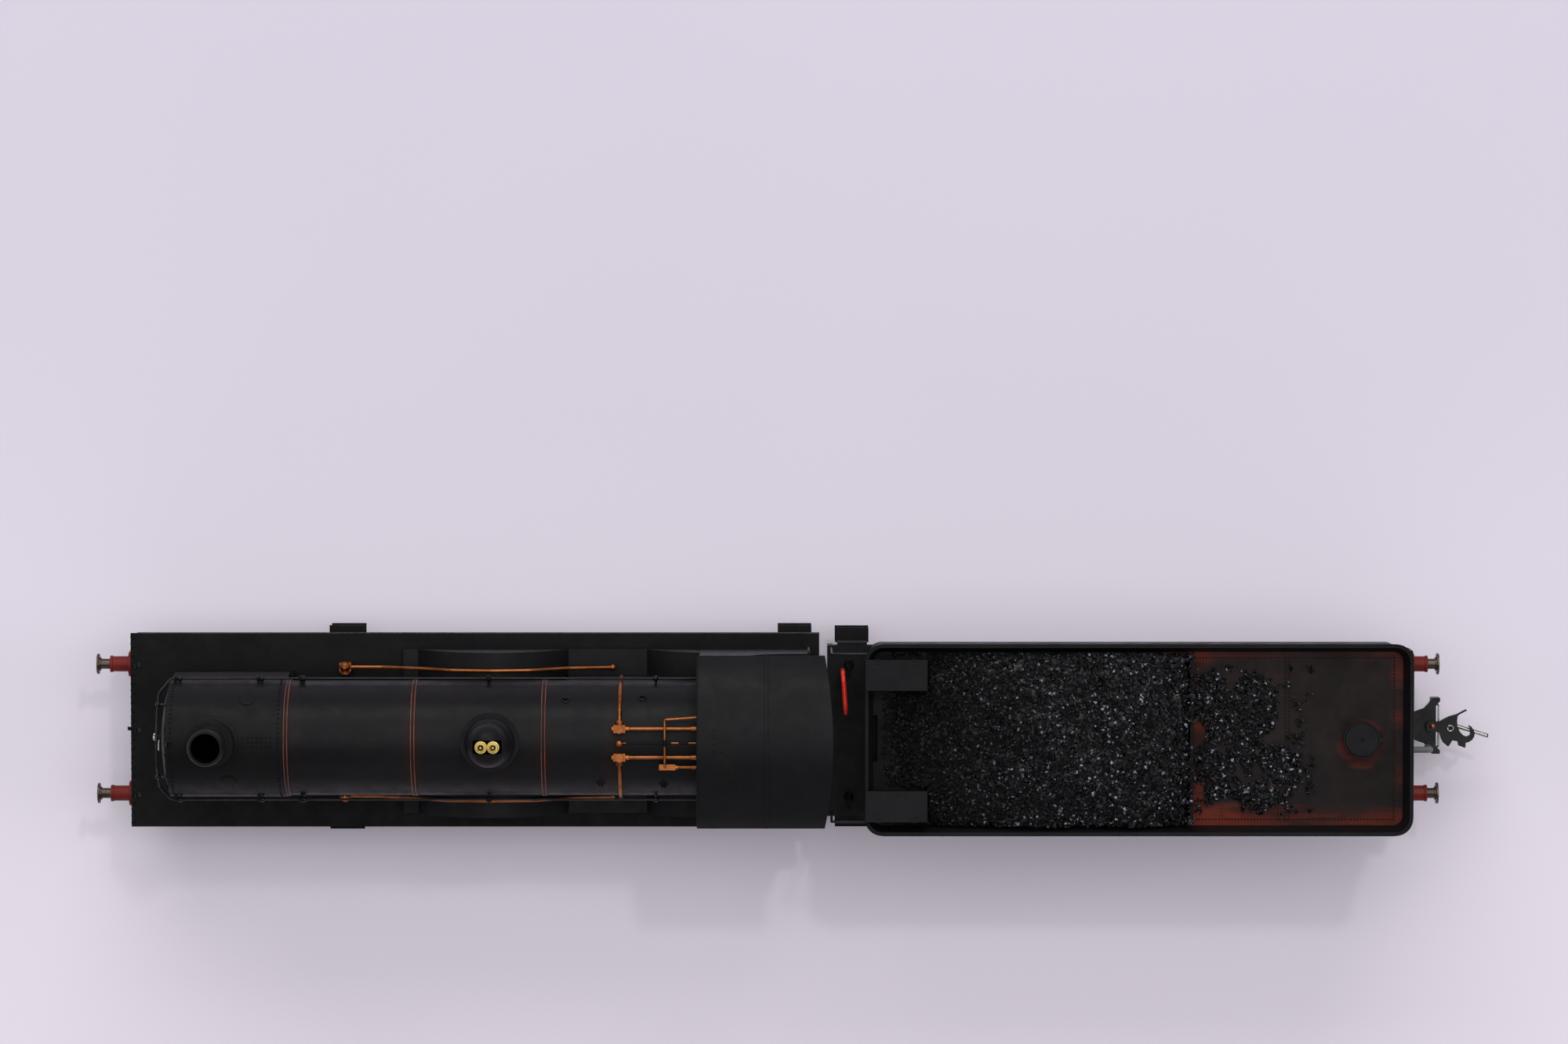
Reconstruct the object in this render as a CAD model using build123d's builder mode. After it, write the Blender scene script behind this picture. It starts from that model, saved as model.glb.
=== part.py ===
from build123d import *
import math
import os

# Model train in 4 mm to the foot scale on 16.5 mm gauge track: a 4-4-0 tender engine.
# Millimetres. +Z up, -X is the engine's front, the origin is under the middle of the train.
# The wheel flanges reach down to z = 0, and the rail head is one flange depth above that.

# ---------------------------------------------------------------- driving dimensions
flange_depth = 0.7
back_to_back = 14.4
tyre_width = 2.2
driver_r = 13.15
carrying_r = 7.15
driver_x = (-52.75, -12.75)
bogie_x = -92.75
bogie_base = 26.0
tender_bogie_x = (37.1, 81.1)
tender_bogie_base = 22.0
driver_z = flange_depth + driver_r
carrying_z = flange_depth + carrying_r
flange_width = 0.7
crank_throw = 4.0
crankpin_r = 0.7
driver_axle_r = 1.5
carrying_axle_r = 1.0
running_fit = 0.05
pivot_screw_r = 0.8
pivot_neck_r = 1.2
pivot_head_r = 2.0
pivot_under = 8.5

# Engine body
front_x = -116.45
engine_rear_x = 4.25
plate_half = 17.0
plate_top = 17.7
plate_thick = 1.0
plate_under = plate_top - plate_thick
valance_z = 15.0
beam_low_z = 10.4
boiler_z = 32.5
boiler_r = 9.9
boiler_wall = 1.0
smokebox_x = (-107.7, -87.7)
smokebox_r = 10.1
smokebox_half = 10.9
smokebox_side_z = 26.2
chimney_x = -99.75
chimney_top = 53.7
dome_x = -52.25
dome_top = 51.5
valve_top = 52.2
firebox_x = -39.5
cab_front_x = -16.5
cab_half = 14.4
cab_wall = 0.6
eaves_z = 41.2
roof_half = 14.85
roof_rise = 6.5
splasher_r = 14.6
splasher_wall = 0.5
casing_top = 20.2
casing_front_x = -68.5
casing_in = 6.8
band_x = (-87.25, -65.5, -43.15)
pipe_y = 11.3
fitting_x = -30.05
fitting_y = 2.45

# Chassis and drive
chassis_half = 5.5
chassis_z = (12.3, 16.7)
keeper_z = 11.1
gear_teeth = 30
gear_module = 0.4
gear_width = 2.0
worm_r = 2.1
worm_z = driver_z + gear_teeth * gear_module / 2 + worm_r
motor_x = (-44.0, -22.5)
motor_half = 6.0

# Buffers
buffer_y = 11.4
buffer_z = 14.5
buffer_reach = 122.65
rear_buffer_reach = 113.15
buffer_ram_r = 0.9
front_length = 3.9
rear_length = 3.0
rear_beam_x = 108.2
rear_beam_half = 14.0

# Footsteps: undersides of the two treads of each
step_z = (6.0, 11.2)
step_thick = 0.5

# Rear coupling: a plastic body, and a hook that swings on a rivet
coupling_under = 8.2
coupling_top = 9.3
bumper_under = 6.4
hook_under = 9.4
hook_top = 10.3
rivet_x = 112.7
rivet_r = 0.3

# Tender
tender_front_x = 5.65
tender_half = 15.0
tank_x = (11.95, 106.25)
tank_half = 16.5
tank_floor = 18.9
tank_top = 34.4
flare_top = 37.7
flare_wall = 0.6
bulkhead_x = 67.85
coal_front_x = 15.0
toolbox_x = (12.15, 22.55)
toolbox_y = (8.8, 13.8)
filler_x = 97.45
drawbar_x = (0.0, 11.0)
drawbar_z = 13.2
drawbar_pin_r = 0.9


# ---------------------------------------------------------------- helpers
def block(x, y, z, mode=Mode.ADD):
    """A box given by its limits along each axis."""
    with Locations(((x[0] + x[1]) / 2, (y[0] + y[1]) / 2, (z[0] + z[1]) / 2)):
        Box(x[1] - x[0], y[1] - y[0], z[1] - z[0], mode=mode)


def both_sides(x, y, z, mode=Mode.ADD):
    """The same box on the right and on the left."""
    block(x, y, z, mode)
    block(x, (-y[1], -y[0]), z, mode)


def rod(start, end, radius, mode=Mode.ADD):
    """A round bar between two points."""
    axis = Vector(*end) - Vector(*start)
    with BuildSketch(Plane(origin=start, z_dir=axis)) as section:
        Circle(radius)
    extrude(section.sketch, amount=axis.length, mode=mode)


def slab(points, y, mode=Mode.ADD):
    """A side profile in X and Z, as thick as the limits y."""
    with BuildSketch(Plane.XZ.offset(-y[1])) as profile:
        with BuildLine():
            Polyline(*points, close=True)
        make_face()
    extrude(profile.sketch, amount=y[1] - y[0], mode=mode)


def wire(points, radius, bend):
    """A bent round wire or pipe through the points, with rounded corners."""
    with BuildLine() as path:
        FilletPolyline(*points, radius=bend)
    with BuildSketch(Plane(origin=path.line @ 0, z_dir=path.line % 0)) as section:
        Circle(radius)
    sweep(section.sketch, path=path.line)


def turned(profile, x, y, z):
    """A body of revolution about the X axis through (y, z), from (distance, radius) points."""
    with BuildSketch(Plane(origin=(x, y, z), x_dir=(1, 0, 0), z_dir=(0, -1, 0))) as section:
        with BuildLine():
            Polyline(*profile, close=True)
        make_face()
    revolve(section.sketch, axis=Axis((x, y, z), (1, 0, 0)))


def boiler_height(y, radius):
    """Height of a boiler surface of this radius at a distance y from the middle."""
    return boiler_z + math.sqrt(radius**2 - y**2)


def finish(part, name):
    """Label one sub-part and write its file."""
    part.label = name
    export_step(part, f"parts/{name}.step")


# ---------------------------------------------------------------- wheels
def wheel(side, radius, spokes, spoke_width, hub_r, x, z, crank=None):
    """One wheel with its flange on the inside. side is 1 for the right and -1 for the left."""
    inner = back_to_back / 2
    outer = inner + tyre_width
    rim_in = radius - 0.085 * radius
    face = (inner + 0.5, outer - 0.3)
    ring_low = min(side * inner, side * outer)
    web_low = min(side * face[0], side * face[1])
    flange_low = min(side * inner, side * (inner + flange_width))
    with BuildPart() as part:
        with BuildSketch(Plane.XZ.offset(-(ring_low + tyre_width))) as tyre:
            with Locations((x, z)):
                Circle(radius)
                Circle(rim_in, mode=Mode.SUBTRACT)
        extrude(tyre.sketch, amount=tyre_width)
        with BuildSketch(Plane.XZ.offset(-(flange_low + flange_width))) as flange:
            with Locations((x, z)):
                Circle(radius + flange_depth)
                Circle(rim_in, mode=Mode.SUBTRACT)
        extrude(flange.sketch, amount=flange_width)
        with BuildSketch(Plane.XZ.offset(-(web_low + face[1] - face[0]))) as web:
            with Locations((x, z)):
                Circle(rim_in + 0.05)
                Circle(rim_in - 0.06 * radius, mode=Mode.SUBTRACT)
                with PolarLocations((rim_in + hub_r) / 2, spokes):
                    Rectangle(rim_in - hub_r + 0.4, spoke_width)
                Circle(hub_r)
            if crank:
                with Locations(crank):
                    Circle(1.9)
        extrude(web.sketch, amount=face[1] - face[0])
        with BuildSketch(Plane.XZ.offset(-(ring_low + tyre_width))) as boss:
            with Locations((x, z)):
                Circle(hub_r * 0.72)
        extrude(boss.sketch, amount=tyre_width)
    return part.part


def crank_pin_place(axle_x, side):
    """The right crank stands at the bottom, and the left one a quarter turn on, at the front."""
    if side > 0:
        return (axle_x, driver_z - crank_throw)
    return (axle_x - crank_throw, driver_z)


def driving_wheelset(axle_x):
    """Two spoked driving wheels with crankpins on one axle."""
    outer = back_to_back / 2 + tyre_width
    with BuildPart() as wheelset:
        for side in (1, -1):
            crank = crank_pin_place(axle_x, side)
            add(wheel(side, driver_r, 20, 0.62, 2.3, axle_x, driver_z, crank))
            pin_x, pin_z = crank
            rod((pin_x, side * (outer - 1.0), pin_z), (pin_x, side * 10.75, pin_z), crankpin_r)
            rod((pin_x, side * 10.7, pin_z), (pin_x, side * 11.1, pin_z), 1.15)
        rod((axle_x, -outer, driver_z), (axle_x, outer, driver_z), driver_axle_r)
    return wheelset.part


def carrying_wheelset(axle_x):
    """Two small spoked wheels on one axle."""
    outer = back_to_back / 2 + tyre_width
    with BuildPart() as wheelset:
        for side in (1, -1):
            add(wheel(side, carrying_r, 10, 0.6, 1.5, axle_x, carrying_z))
        rod((axle_x, -outer, carrying_z), (axle_x, outer, carrying_z), carrying_axle_r)
    return wheelset.part


def coupling_rod(side):
    """A flat rod with an eye at each end, hung on the two crankpins of one side."""
    front = crank_pin_place(driver_x[0], side)
    rear = crank_pin_place(driver_x[1], side)
    thickness = 0.85
    low = min(side * 9.75, side * (9.75 + thickness))
    with BuildPart() as part:
        with BuildSketch(Plane.XZ.offset(-(low + thickness))) as profile:
            with Locations(((front[0] + rear[0]) / 2, front[1])):
                Rectangle(rear[0] - front[0], 1.5)
            with Locations(front, rear):
                Circle(1.6)
            with Locations(front):
                Circle(crankpin_r + running_fit, mode=Mode.SUBTRACT)
            with Locations(rear):
                Circle(crankpin_r + 2 * running_fit, mode=Mode.SUBTRACT)
        extrude(profile.sketch, amount=thickness)
    return part.part


# ---------------------------------------------------------------- engine chassis and drive
keeper_screw_x = (-64.3, -33.0)


def make_chassis_block():
    """Cast block with axle slots, gear slot, motor cradle and a bar out to the bogie."""
    low, high = chassis_z
    gear_gap = gear_teeth * gear_module / 2 + 0.8
    with BuildPart() as part:
        block((-66.0, 2.6), (-chassis_half, chassis_half), chassis_z)
        block((-98.0, -65.9), (-3.4, 3.4), chassis_z)
        for x in driver_x:
            rod((x, -9, driver_z), (x, 9, driver_z), driver_axle_r + running_fit, Mode.SUBTRACT)
            half = driver_axle_r + running_fit
            block((x - half, x + half), (-9, 9), (low - 1, driver_z), Mode.SUBTRACT)
        front = driver_x[0]
        block((front - gear_gap, front + gear_gap), (-1.6, 1.6), (low - 1, high + 1), Mode.SUBTRACT)
        block((motor_x[0] - 0.1, motor_x[1] + 0.1), (-9, 9), (14.4, high + 1), Mode.SUBTRACT)
        block((-62.8, -60.6), (-3.0, 3.0), (high - 0.5, worm_z + 2.0))
        rod((-64, 0, worm_z), (-59, 0, worm_z), 0.8 + running_fit, Mode.SUBTRACT)
        for x in (*keeper_screw_x, 0.0):
            rod((x, 0, low - 1), (x, 0, low + 1.6), 0.6, Mode.SUBTRACT)
        rod((bogie_x, 0, low - 1), (bogie_x, 0, low + 3.0), pivot_screw_r, Mode.SUBTRACT)
        block((-2.9, 3.0), (-3.2, 3.2), (low - 1, drawbar_z + 1.2), Mode.SUBTRACT)
    return part.part


def make_keeper_plate():
    """Flat plate that closes the axle slots from below."""
    gear_gap = gear_teeth * gear_module / 2 + 0.8
    front = driver_x[0]
    with BuildPart() as part:
        block((-66.0, -1.8), (-chassis_half, chassis_half), (keeper_z, chassis_z[0]))
        block((front - gear_gap, front + gear_gap), (-1.6, 1.6), (keeper_z - 1, 13), Mode.SUBTRACT)
        for x in keeper_screw_x:
            rod((x, 0, keeper_z - 1), (x, 0, chassis_z[0] + 1), 0.6, Mode.SUBTRACT)
    return part.part


def make_chassis_screws():
    """Two keeper screws and the shouldered bogie pivot screw."""
    with BuildPart() as part:
        for x in keeper_screw_x:
            rod((x, 0, keeper_z), (x, 0, chassis_z[0] + 1.5), 0.6)
            rod((x, 0, keeper_z - 0.7), (x, 0, keeper_z), 1.2)
        rod((bogie_x, 0, chassis_z[0]), (bogie_x, 0, chassis_z[0] + 2.9), pivot_screw_r)
        rod((bogie_x, 0, pivot_under), (bogie_x, 0, chassis_z[0]), pivot_neck_r)
        rod((bogie_x, 0, pivot_under), (bogie_x, 0, pivot_under + 0.85), pivot_head_r)
    return part.part


def make_motor():
    """Flat-sided can motor with end bearings, lying along the engine in the firebox."""
    low, high = worm_z - 7.4, worm_z + 7.4
    with BuildPart() as part:
        block(motor_x, (-motor_half, motor_half), (low, high))
        fillet(part.edges().filter_by(Axis.X), radius=2.5)
        rod((motor_x[0] - 0.7, 0, worm_z), (motor_x[0], 0, worm_z), 2.0)
        rod((motor_x[0] - 1, 0, worm_z), (motor_x[1] + 1, 0, worm_z), 0.8 + running_fit, Mode.SUBTRACT)
    return part.part


def make_worm_shaft():
    """Motor shaft with its single-start worm above the front driving axle."""
    pitch = math.pi * gear_module
    turns = 6
    start_x = driver_x[0] - pitch * turns / 2
    core_r = worm_r - 0.5
    outer_r = worm_r + 0.4
    across = Plane(origin=(start_x, 0, worm_z), x_dir=(0, 0, -1), z_dir=(1, 0, 0))
    with BuildPart() as part:
        rod((-63.2, 0, worm_z), (motor_x[1] - 0.3, 0, worm_z), 0.8)
        rod((start_x - 0.7, 0, worm_z), (start_x + pitch * turns + 0.7, 0, worm_z), core_r)
        with BuildLine() as coil:
            Helix(pitch=pitch, height=pitch * turns, radius=core_r)
        thread_path = coil.line.moved(across.location)
        place = Plane(origin=thread_path @ 0, x_dir=(0, 0, -1), z_dir=thread_path % 0)
        with BuildSketch(place) as thread:
            with BuildLine():
                Polyline(
                    (-0.15, -0.28),
                    (outer_r - core_r, -0.13),
                    (outer_r - core_r, 0.13),
                    (-0.15, 0.28),
                    close=True,
                )
            make_face()
        sweep(thread.sketch, path=thread_path, is_frenet=True)
    return part.part


def make_axle_gear():
    """Thirty-tooth gear pressed on the front driving axle, a tooth gap at its top."""
    pitch_r = gear_teeth * gear_module / 2
    step = 360 / gear_teeth
    x = driver_x[0]
    with BuildPart() as part:
        with BuildSketch(Plane.XZ.offset(-gear_width / 2)) as profile:
            with Locations((x, driver_z)):
                Circle(pitch_r - 0.5)
                with PolarLocations(pitch_r - 0.1, gear_teeth, start_angle=90 + step / 2):
                    Trapezoid(0.62, 1.0, 80, rotation=-90)
                Circle(driver_axle_r, mode=Mode.SUBTRACT)
        extrude(profile.sketch, amount=gear_width)
    return part.part


def make_bogie_frame():
    """Leading bogie: two inside frames joined by a stretcher with the pivot hole."""
    half_base = bogie_base / 2
    with BuildPart() as part:
        outline = [
            (bogie_x - half_base - 3.2, 6.6),
            (bogie_x - half_base - 3.2, 9.6),
            (bogie_x - half_base + 4.0, 9.6),
            (bogie_x - half_base + 6.0, 11.6),
            (bogie_x + half_base - 6.0, 11.6),
            (bogie_x + half_base - 4.0, 9.6),
            (bogie_x + half_base + 3.2, 9.6),
            (bogie_x + half_base + 3.2, 6.6),
            (bogie_x + half_base - 4.0, 5.6),
            (bogie_x - half_base + 4.0, 5.6),
        ]
        slab(outline, (5.7, 6.7))
        slab(outline, (-6.7, -5.7))
        block((bogie_x - 4.5, bogie_x + 4.5), (-5.75, 5.75), (9.5, 11.6))
        for end in (-1, 1):
            x = bogie_x + end * (half_base - 5.0)
            block((x - 0.8, x + 0.8), (-5.75, 5.75), (7.0, 9.0))
        rod((bogie_x, 0, 5), (bogie_x, 0, 14), pivot_neck_r + running_fit, Mode.SUBTRACT)
        for end in (-1, 1):
            x = bogie_x + end * half_base
            hole_r = carrying_axle_r + running_fit
            rod((x, -9, carrying_z), (x, 9, carrying_z), hole_r, Mode.SUBTRACT)
    return part.part


def make_brake_gear():
    """Brake blocks against the driving wheels, carried by two cross beams and a pull rod."""
    with BuildPart() as part:
        for axle, toward in ((driver_x[0], 1), (driver_x[1], -1)):
            for side in (1, -1):
                low = min(side * 8.1, side * 9.2)
                with BuildSketch(Plane.XZ.offset(-(low + 1.1))) as shoe:
                    with Locations((axle, driver_z)):
                        Circle(driver_r + 1.6)
                        Circle(driver_r + 0.35, mode=Mode.SUBTRACT)
                    with Locations((axle + toward * (driver_r + 1.0), driver_z - 2.2)):
                        Rectangle(3.0, 6.4, mode=Mode.INTERSECT)
                extrude(shoe.sketch, amount=1.1)
            beam_x = axle + toward * (driver_r + 1.3)
            block((beam_x - 0.5, beam_x + 0.5), (-9.2, 9.2), (keeper_z - 1.0, keeper_z))
        ends = (driver_x[0] + driver_r + 1.3, driver_x[1] - driver_r - 1.3)
        both_sides(ends, (3.2, 3.9), (keeper_z - 1.0, keeper_z))
    return part.part


# ---------------------------------------------------------------- engine body
def casing_outline(reach, top):
    """Side outline of the splashers: two wheel arcs above a low casing."""
    with BuildSketch(Plane.XZ) as outline:
        middle = (casing_front_x + driver_x[1] + splasher_r) / 2
        length = driver_x[1] + splasher_r - casing_front_x
        inset = splasher_r - reach
        with Locations((middle, (plate_top + top) / 2)):
            Rectangle(length - 2 * inset, top - plate_top)
        with Locations(*[(x, driver_z) for x in driver_x]):
            Circle(reach)
        with Locations((middle, plate_top - 20)):
            Rectangle(200, 40, mode=Mode.SUBTRACT)
    return outline.sketch


def splasher_space(reach, top, inboard, outboard):
    """Both sides' splashers as solids; inside the cab they stay behind the side sheets."""
    with BuildPart() as part:
        for side in (1, -1):
            y = sorted((side * inboard, side * outboard))
            face = casing_outline(reach, top).moved(Location((0, y[1], 0)))
            extrude(face, amount=y[1] - y[0], dir=(0, -1, 0))
        tight = outboard - cab_wall
        both_sides((cab_front_x, 10), (tight, cab_half + 1), (0, 60), Mode.SUBTRACT)
    return part.part


splasher_outside = splasher_space(splasher_r, casing_top, casing_in, cab_half)
splasher_inside = splasher_space(
    splasher_r - splasher_wall, casing_top - splasher_wall, casing_in - 1, cab_half - splasher_wall
)

with BuildPart() as splashers:
    add(splasher_outside)
    add(splasher_inside, mode=Mode.SUBTRACT)

with BuildPart() as footplate:
    block((front_x, engine_rear_x), (-plate_half, plate_half), (plate_under, plate_top))
    both_sides((front_x + 1.0, engine_rear_x), (16.3, plate_half), (valance_z, plate_under))
    slot = (driver_x[0] - 14.4, driver_x[1] + 14.4)
    both_sides(slot, (6.6, 11.9), (0, 20), Mode.SUBTRACT)
    block((-66.0, -20.0), (-6.7, 6.7), (0, 20), Mode.SUBTRACT)
    block((front_x, front_x + 1.0), (-16.2, 16.2), (beam_low_z, plate_under + 0.1))
    for side in (1, -1):
        y = side * buffer_y
        rod((front_x - 1, y, buffer_z), (front_x + 2, y, buffer_z), 0.5, Mode.SUBTRACT)

with BuildPart() as footsteps:
    for x in ((-82.05, -75.95), (-3.05, 2.9)):
        for side in (1, -1):
            riser = sorted((side * 15.7, side * 16.3))
            tread = sorted((side * 15.7, side * 18.0))
            block((x[0] + 0.4, x[1] - 0.4), riser, (step_z[0], plate_under))
            for z in step_z:
                block(x, tread, (z, z + step_thick))

with BuildPart() as smokebox:
    with BuildSketch(Plane.YZ.offset(smokebox_x[0])) as wrapper:
        # Half-round top, sides that spread a little, then a hollow curve down to the saddle
        with BuildLine():
            ThreePointArc(
                (smokebox_r, boiler_z), (0, boiler_z + smokebox_r), (-smokebox_r, boiler_z)
            )
            for side in (1, -1):
                foot = (side * 10.4, plate_top + 0.7)
                waist = (side * smokebox_half, smokebox_side_z)
                Line((side * smokebox_r, boiler_z), waist)
                ThreePointArc(waist, (side * 9.7, 22.0), foot)
                Line(foot, (side * 10.4, plate_top))
            Line((-10.4, plate_top), (10.4, plate_top))
        make_face()
    extrude(wrapper.sketch, amount=smokebox_x[1] - smokebox_x[0])
    inner = (smokebox_x[0] + 1.2, smokebox_x[1] + 1)
    rod((inner[0], 0, boiler_z), (inner[1], 0, boiler_z), smokebox_r - 1.0, Mode.SUBTRACT)
    door_opening = (smokebox_x[0] - 1, smokebox_x[0] + 2)
    rod((door_opening[0], 0, boiler_z), (door_opening[1], 0, boiler_z), 7.6, Mode.SUBTRACT)

with BuildPart() as smokebox_door:
    turned(
        [(0, 0), (0, 8.4), (-0.3, 8.4), (-0.45, 8.2), (-0.8, 7.2), (-1.15, 5.0), (-1.35, 2.5),
         (-1.4, 0)],
        smokebox_x[0], 0, boiler_z,
    )
    rod((smokebox_x[0] - 2.6, 0, boiler_z), (smokebox_x[0] - 0.6, 0, boiler_z), 0.45)
    rod((smokebox_x[0] - 2.3, 0, boiler_z - 2.2), (smokebox_x[0] - 2.3, 0, boiler_z - 0.1), 0.2)
    rod((smokebox_x[0] - 1.8, 0.1, boiler_z - 0.1), (smokebox_x[0] - 1.8, 1.6, boiler_z - 1.5), 0.2)

with BuildPart() as boiler:
    rod((smokebox_x[1], 0, boiler_z), (cab_front_x, 0, boiler_z), boiler_r)
    block((firebox_x, cab_front_x), (-boiler_r, boiler_r), (plate_top, boiler_z))
    hollow_r = boiler_r - boiler_wall
    hollow_x = (smokebox_x[1] + 1.0, cab_front_x - boiler_wall)
    rod((hollow_x[0], 0, boiler_z), (hollow_x[1], 0, boiler_z), hollow_r, Mode.SUBTRACT)
    block(
        (firebox_x + boiler_wall, hollow_x[1]), (-hollow_r, hollow_r), (10, boiler_z), Mode.SUBTRACT
    )
    block((-66.0, firebox_x + 2), (-6.4, 6.4), (10, 27), Mode.SUBTRACT)
    add(splasher_outside, mode=Mode.SUBTRACT)

with BuildPart() as boiler_bands:
    for x in band_x:
        rod((x - 0.45, 0, boiler_z), (x + 0.45, 0, boiler_z), boiler_r + 0.1)
    rod((-90, 0, boiler_z), (-30, 0, boiler_z), boiler_r, Mode.SUBTRACT)
    block((-90, firebox_x - 0.1), (-12, 12), (0, plate_top + 6.5), Mode.SUBTRACT)
    block((-66.0, firebox_x + 2), (-6.4, 6.4), (10, 27), Mode.SUBTRACT)
    add(splasher_outside, mode=Mode.SUBTRACT)

with BuildPart() as above_flange:
    # What lies outside the chimney's barrel and above its thin flange
    with BuildSketch(Plane.XY.offset(38)) as ring:
        with Locations((chimney_x, 0)):
            Circle(6)
            Circle(3.95, mode=Mode.SUBTRACT)
    extrude(ring.sketch, amount=20)
    rod((chimney_x - 9, 0, boiler_z), (chimney_x + 9, 0, boiler_z), smokebox_r + 0.4, Mode.SUBTRACT)

with BuildPart() as chimney:
    with BuildSketch(Plane.XZ) as section:
        with BuildLine():
            Polyline((0, 44.2), (0, 40), (3.95, 40), (3.95, 43.6))
            RadiusArc((3.95, 43.6), (2.75, 46.2), -3.0)
            Polyline((2.75, 46.2), (2.6, 51.6), (3.1, 52.1), (3.1, 53.2), (2.85, chimney_top))
            Polyline((2.85, chimney_top), (2.5, chimney_top), (2.3, 44.2), (0, 44.2))
        make_face()
    barrel = section.sketch.moved(Location((chimney_x, 0, 0)))
    revolve(barrel, axis=Axis((chimney_x, 0, 0), (0, 0, 1)))
    with BuildSketch(Plane.XY.offset(38)) as foot:
        with Locations((chimney_x, 0)):
            Circle(4.5)
    extrude(foot.sketch, amount=8)
    add(above_flange.part, mode=Mode.SUBTRACT)
    with BuildSketch(Plane.XY.offset(44.2)) as flue:
        with Locations((chimney_x, 0)):
            Circle(2.3)
    extrude(flue.sketch, amount=4, mode=Mode.SUBTRACT)
    rod((chimney_x - 9, 0, boiler_z), (chimney_x + 9, 0, boiler_z), smokebox_r, Mode.SUBTRACT)

with BuildPart() as dome:
    with BuildSketch(Plane.XZ) as section:
        with BuildLine():
            Polyline((0, 38), (4.3, 38), (4.3, 42.9))
            RadiusArc((4.3, 42.9), (3.7, 44.6), -2.4)
            Line((3.7, 44.6), (3.7, 48.2))
            EllipticalCenterArc((0, 48.2), 3.7, dome_top - 48.2, 0, arc_size=90)
            Line((0, dome_top), (0, 38))
        make_face()
    revolve(section.sketch.moved(Location((dome_x, 0, 0))), axis=Axis((dome_x, 0, 0), (0, 0, 1)))
    with BuildSketch(Plane.XY.offset(38)) as foot:
        with Locations((dome_x, 0)):
            Circle(5.05)
            Circle(4.2, mode=Mode.SUBTRACT)
    extrude(foot.sketch, amount=4.8)
    rod((dome_x - 9, 0, boiler_z), (dome_x + 9, 0, boiler_z), boiler_r, Mode.SUBTRACT)
    with BuildSketch(Plane.XY.offset(dome_top - 1.6)) as recess:
        with Locations((dome_x, 0)):
            RectangleRounded(4.95, 2.3, 0.3)
    extrude(recess.sketch, amount=4, mode=Mode.SUBTRACT)

with BuildPart() as safety_valves:
    for offset in (-1.035, 1.035):
        x = dome_x + offset
        base = dome_top - 1.6
        rod((x, 0, base), (x, 0, valve_top - 0.3), 0.98)
        rod((x, 0, valve_top - 0.3), (x, 0, valve_top), 0.8)
        rod((x, 0, valve_top - 0.5), (x, 0, valve_top + 0.2), 0.42, Mode.SUBTRACT)
        rod((x, 0, valve_top - 0.55), (x, 0, valve_top - 0.1), 0.2)

rail_y = 10.45
rail_z = 35.1
rail_front_x = -109.35
rail_bore = 0.22
knob_x = (-105.9, -91.8, -84.6, -52.75, -24.0)
with BuildPart() as rail_wire:
    corner_x = rail_front_x + 1.85
    route = [
        (cab_front_x, rail_y, rail_z),
        (corner_x, rail_y, rail_z),
        (rail_front_x, rail_y - 2.4, rail_z + 1.6),
        (rail_front_x, 4.4, 40.3),
        (rail_front_x, 0, 41.3),
        (rail_front_x, -4.4, 40.3),
        (rail_front_x, -rail_y + 2.4, rail_z + 1.6),
        (corner_x, -rail_y, rail_z),
        (cab_front_x, -rail_y, rail_z),
    ]
    wire(route, 0.2, 1.2)

front_knob = (rail_front_x, 6.2, 38.52)
with BuildPart() as handrails:
    # Turned knobs with stems, bored just wider than the rail that runs through them
    for x in knob_x:
        surface_r = smokebox_r if x < smokebox_x[1] else boiler_r
        foot_y = math.sqrt(surface_r**2 - (rail_z - boiler_z) ** 2)
        for side in (1, -1):
            with Locations((x, side * rail_y, rail_z)):
                Sphere(0.48, rotation=(0, 0, 45))
            if foot_y < rail_y:
                rod((x, side * foot_y, rail_z - 0.1), (x, side * rail_y, rail_z), 0.24)
    for side in (1, -1):
        x, y, z = front_knob
        with Locations((x, side * y, z)):
            Sphere(0.48, rotation=(0, 0, 45))
        rod((x, side * y, z), (smokebox_x[0] - 0.01, side * y, z), 0.24)
        rod(
            (rail_front_x, side * (rail_y - 2.4), rail_z + 1.6), (rail_front_x, side * 4.4, 40.3),
            rail_bore, Mode.SUBTRACT,
        )
        rod(
            (cab_front_x, side * rail_y, rail_z), (rail_front_x + 3, side * rail_y, rail_z),
            rail_bore, Mode.SUBTRACT,
        )
    clear_r = smokebox_r + 0.02
    rod((smokebox_x[0], 0, boiler_z), (smokebox_x[1], 0, boiler_z), clear_r, Mode.SUBTRACT)
    rod((smokebox_x[1], 0, boiler_z), (cab_front_x, 0, boiler_z), boiler_r, Mode.SUBTRACT)
    add(rail_wire.part)

with BuildPart() as feed_pipes:
    for side in (1, -1):
        y = side * pipe_y
        wire(
            [(-78.2, y, 20.4), (-72.0, y, 20.7), (-65.5, y, 24.2), (-60.0, y, 28.2),
             (-52.75, y, 29.5), (-45.5, y, 28.2), (-39.5, y, 23.6), (-32.0, y, 21.4)],
            0.32, 3.0,
        )
        block((-79.6, -77.6), (y - 0.75, y + 0.75), (plate_top, 21.0))
        with Locations((-78.6, y, 21.3)):
            Sphere(0.9)
        with Locations((-31.8, y, 21.3)):
            Sphere(0.55)
        rod((-31.8, y, casing_top), (-31.8, y, 21.2), 0.3)

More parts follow.
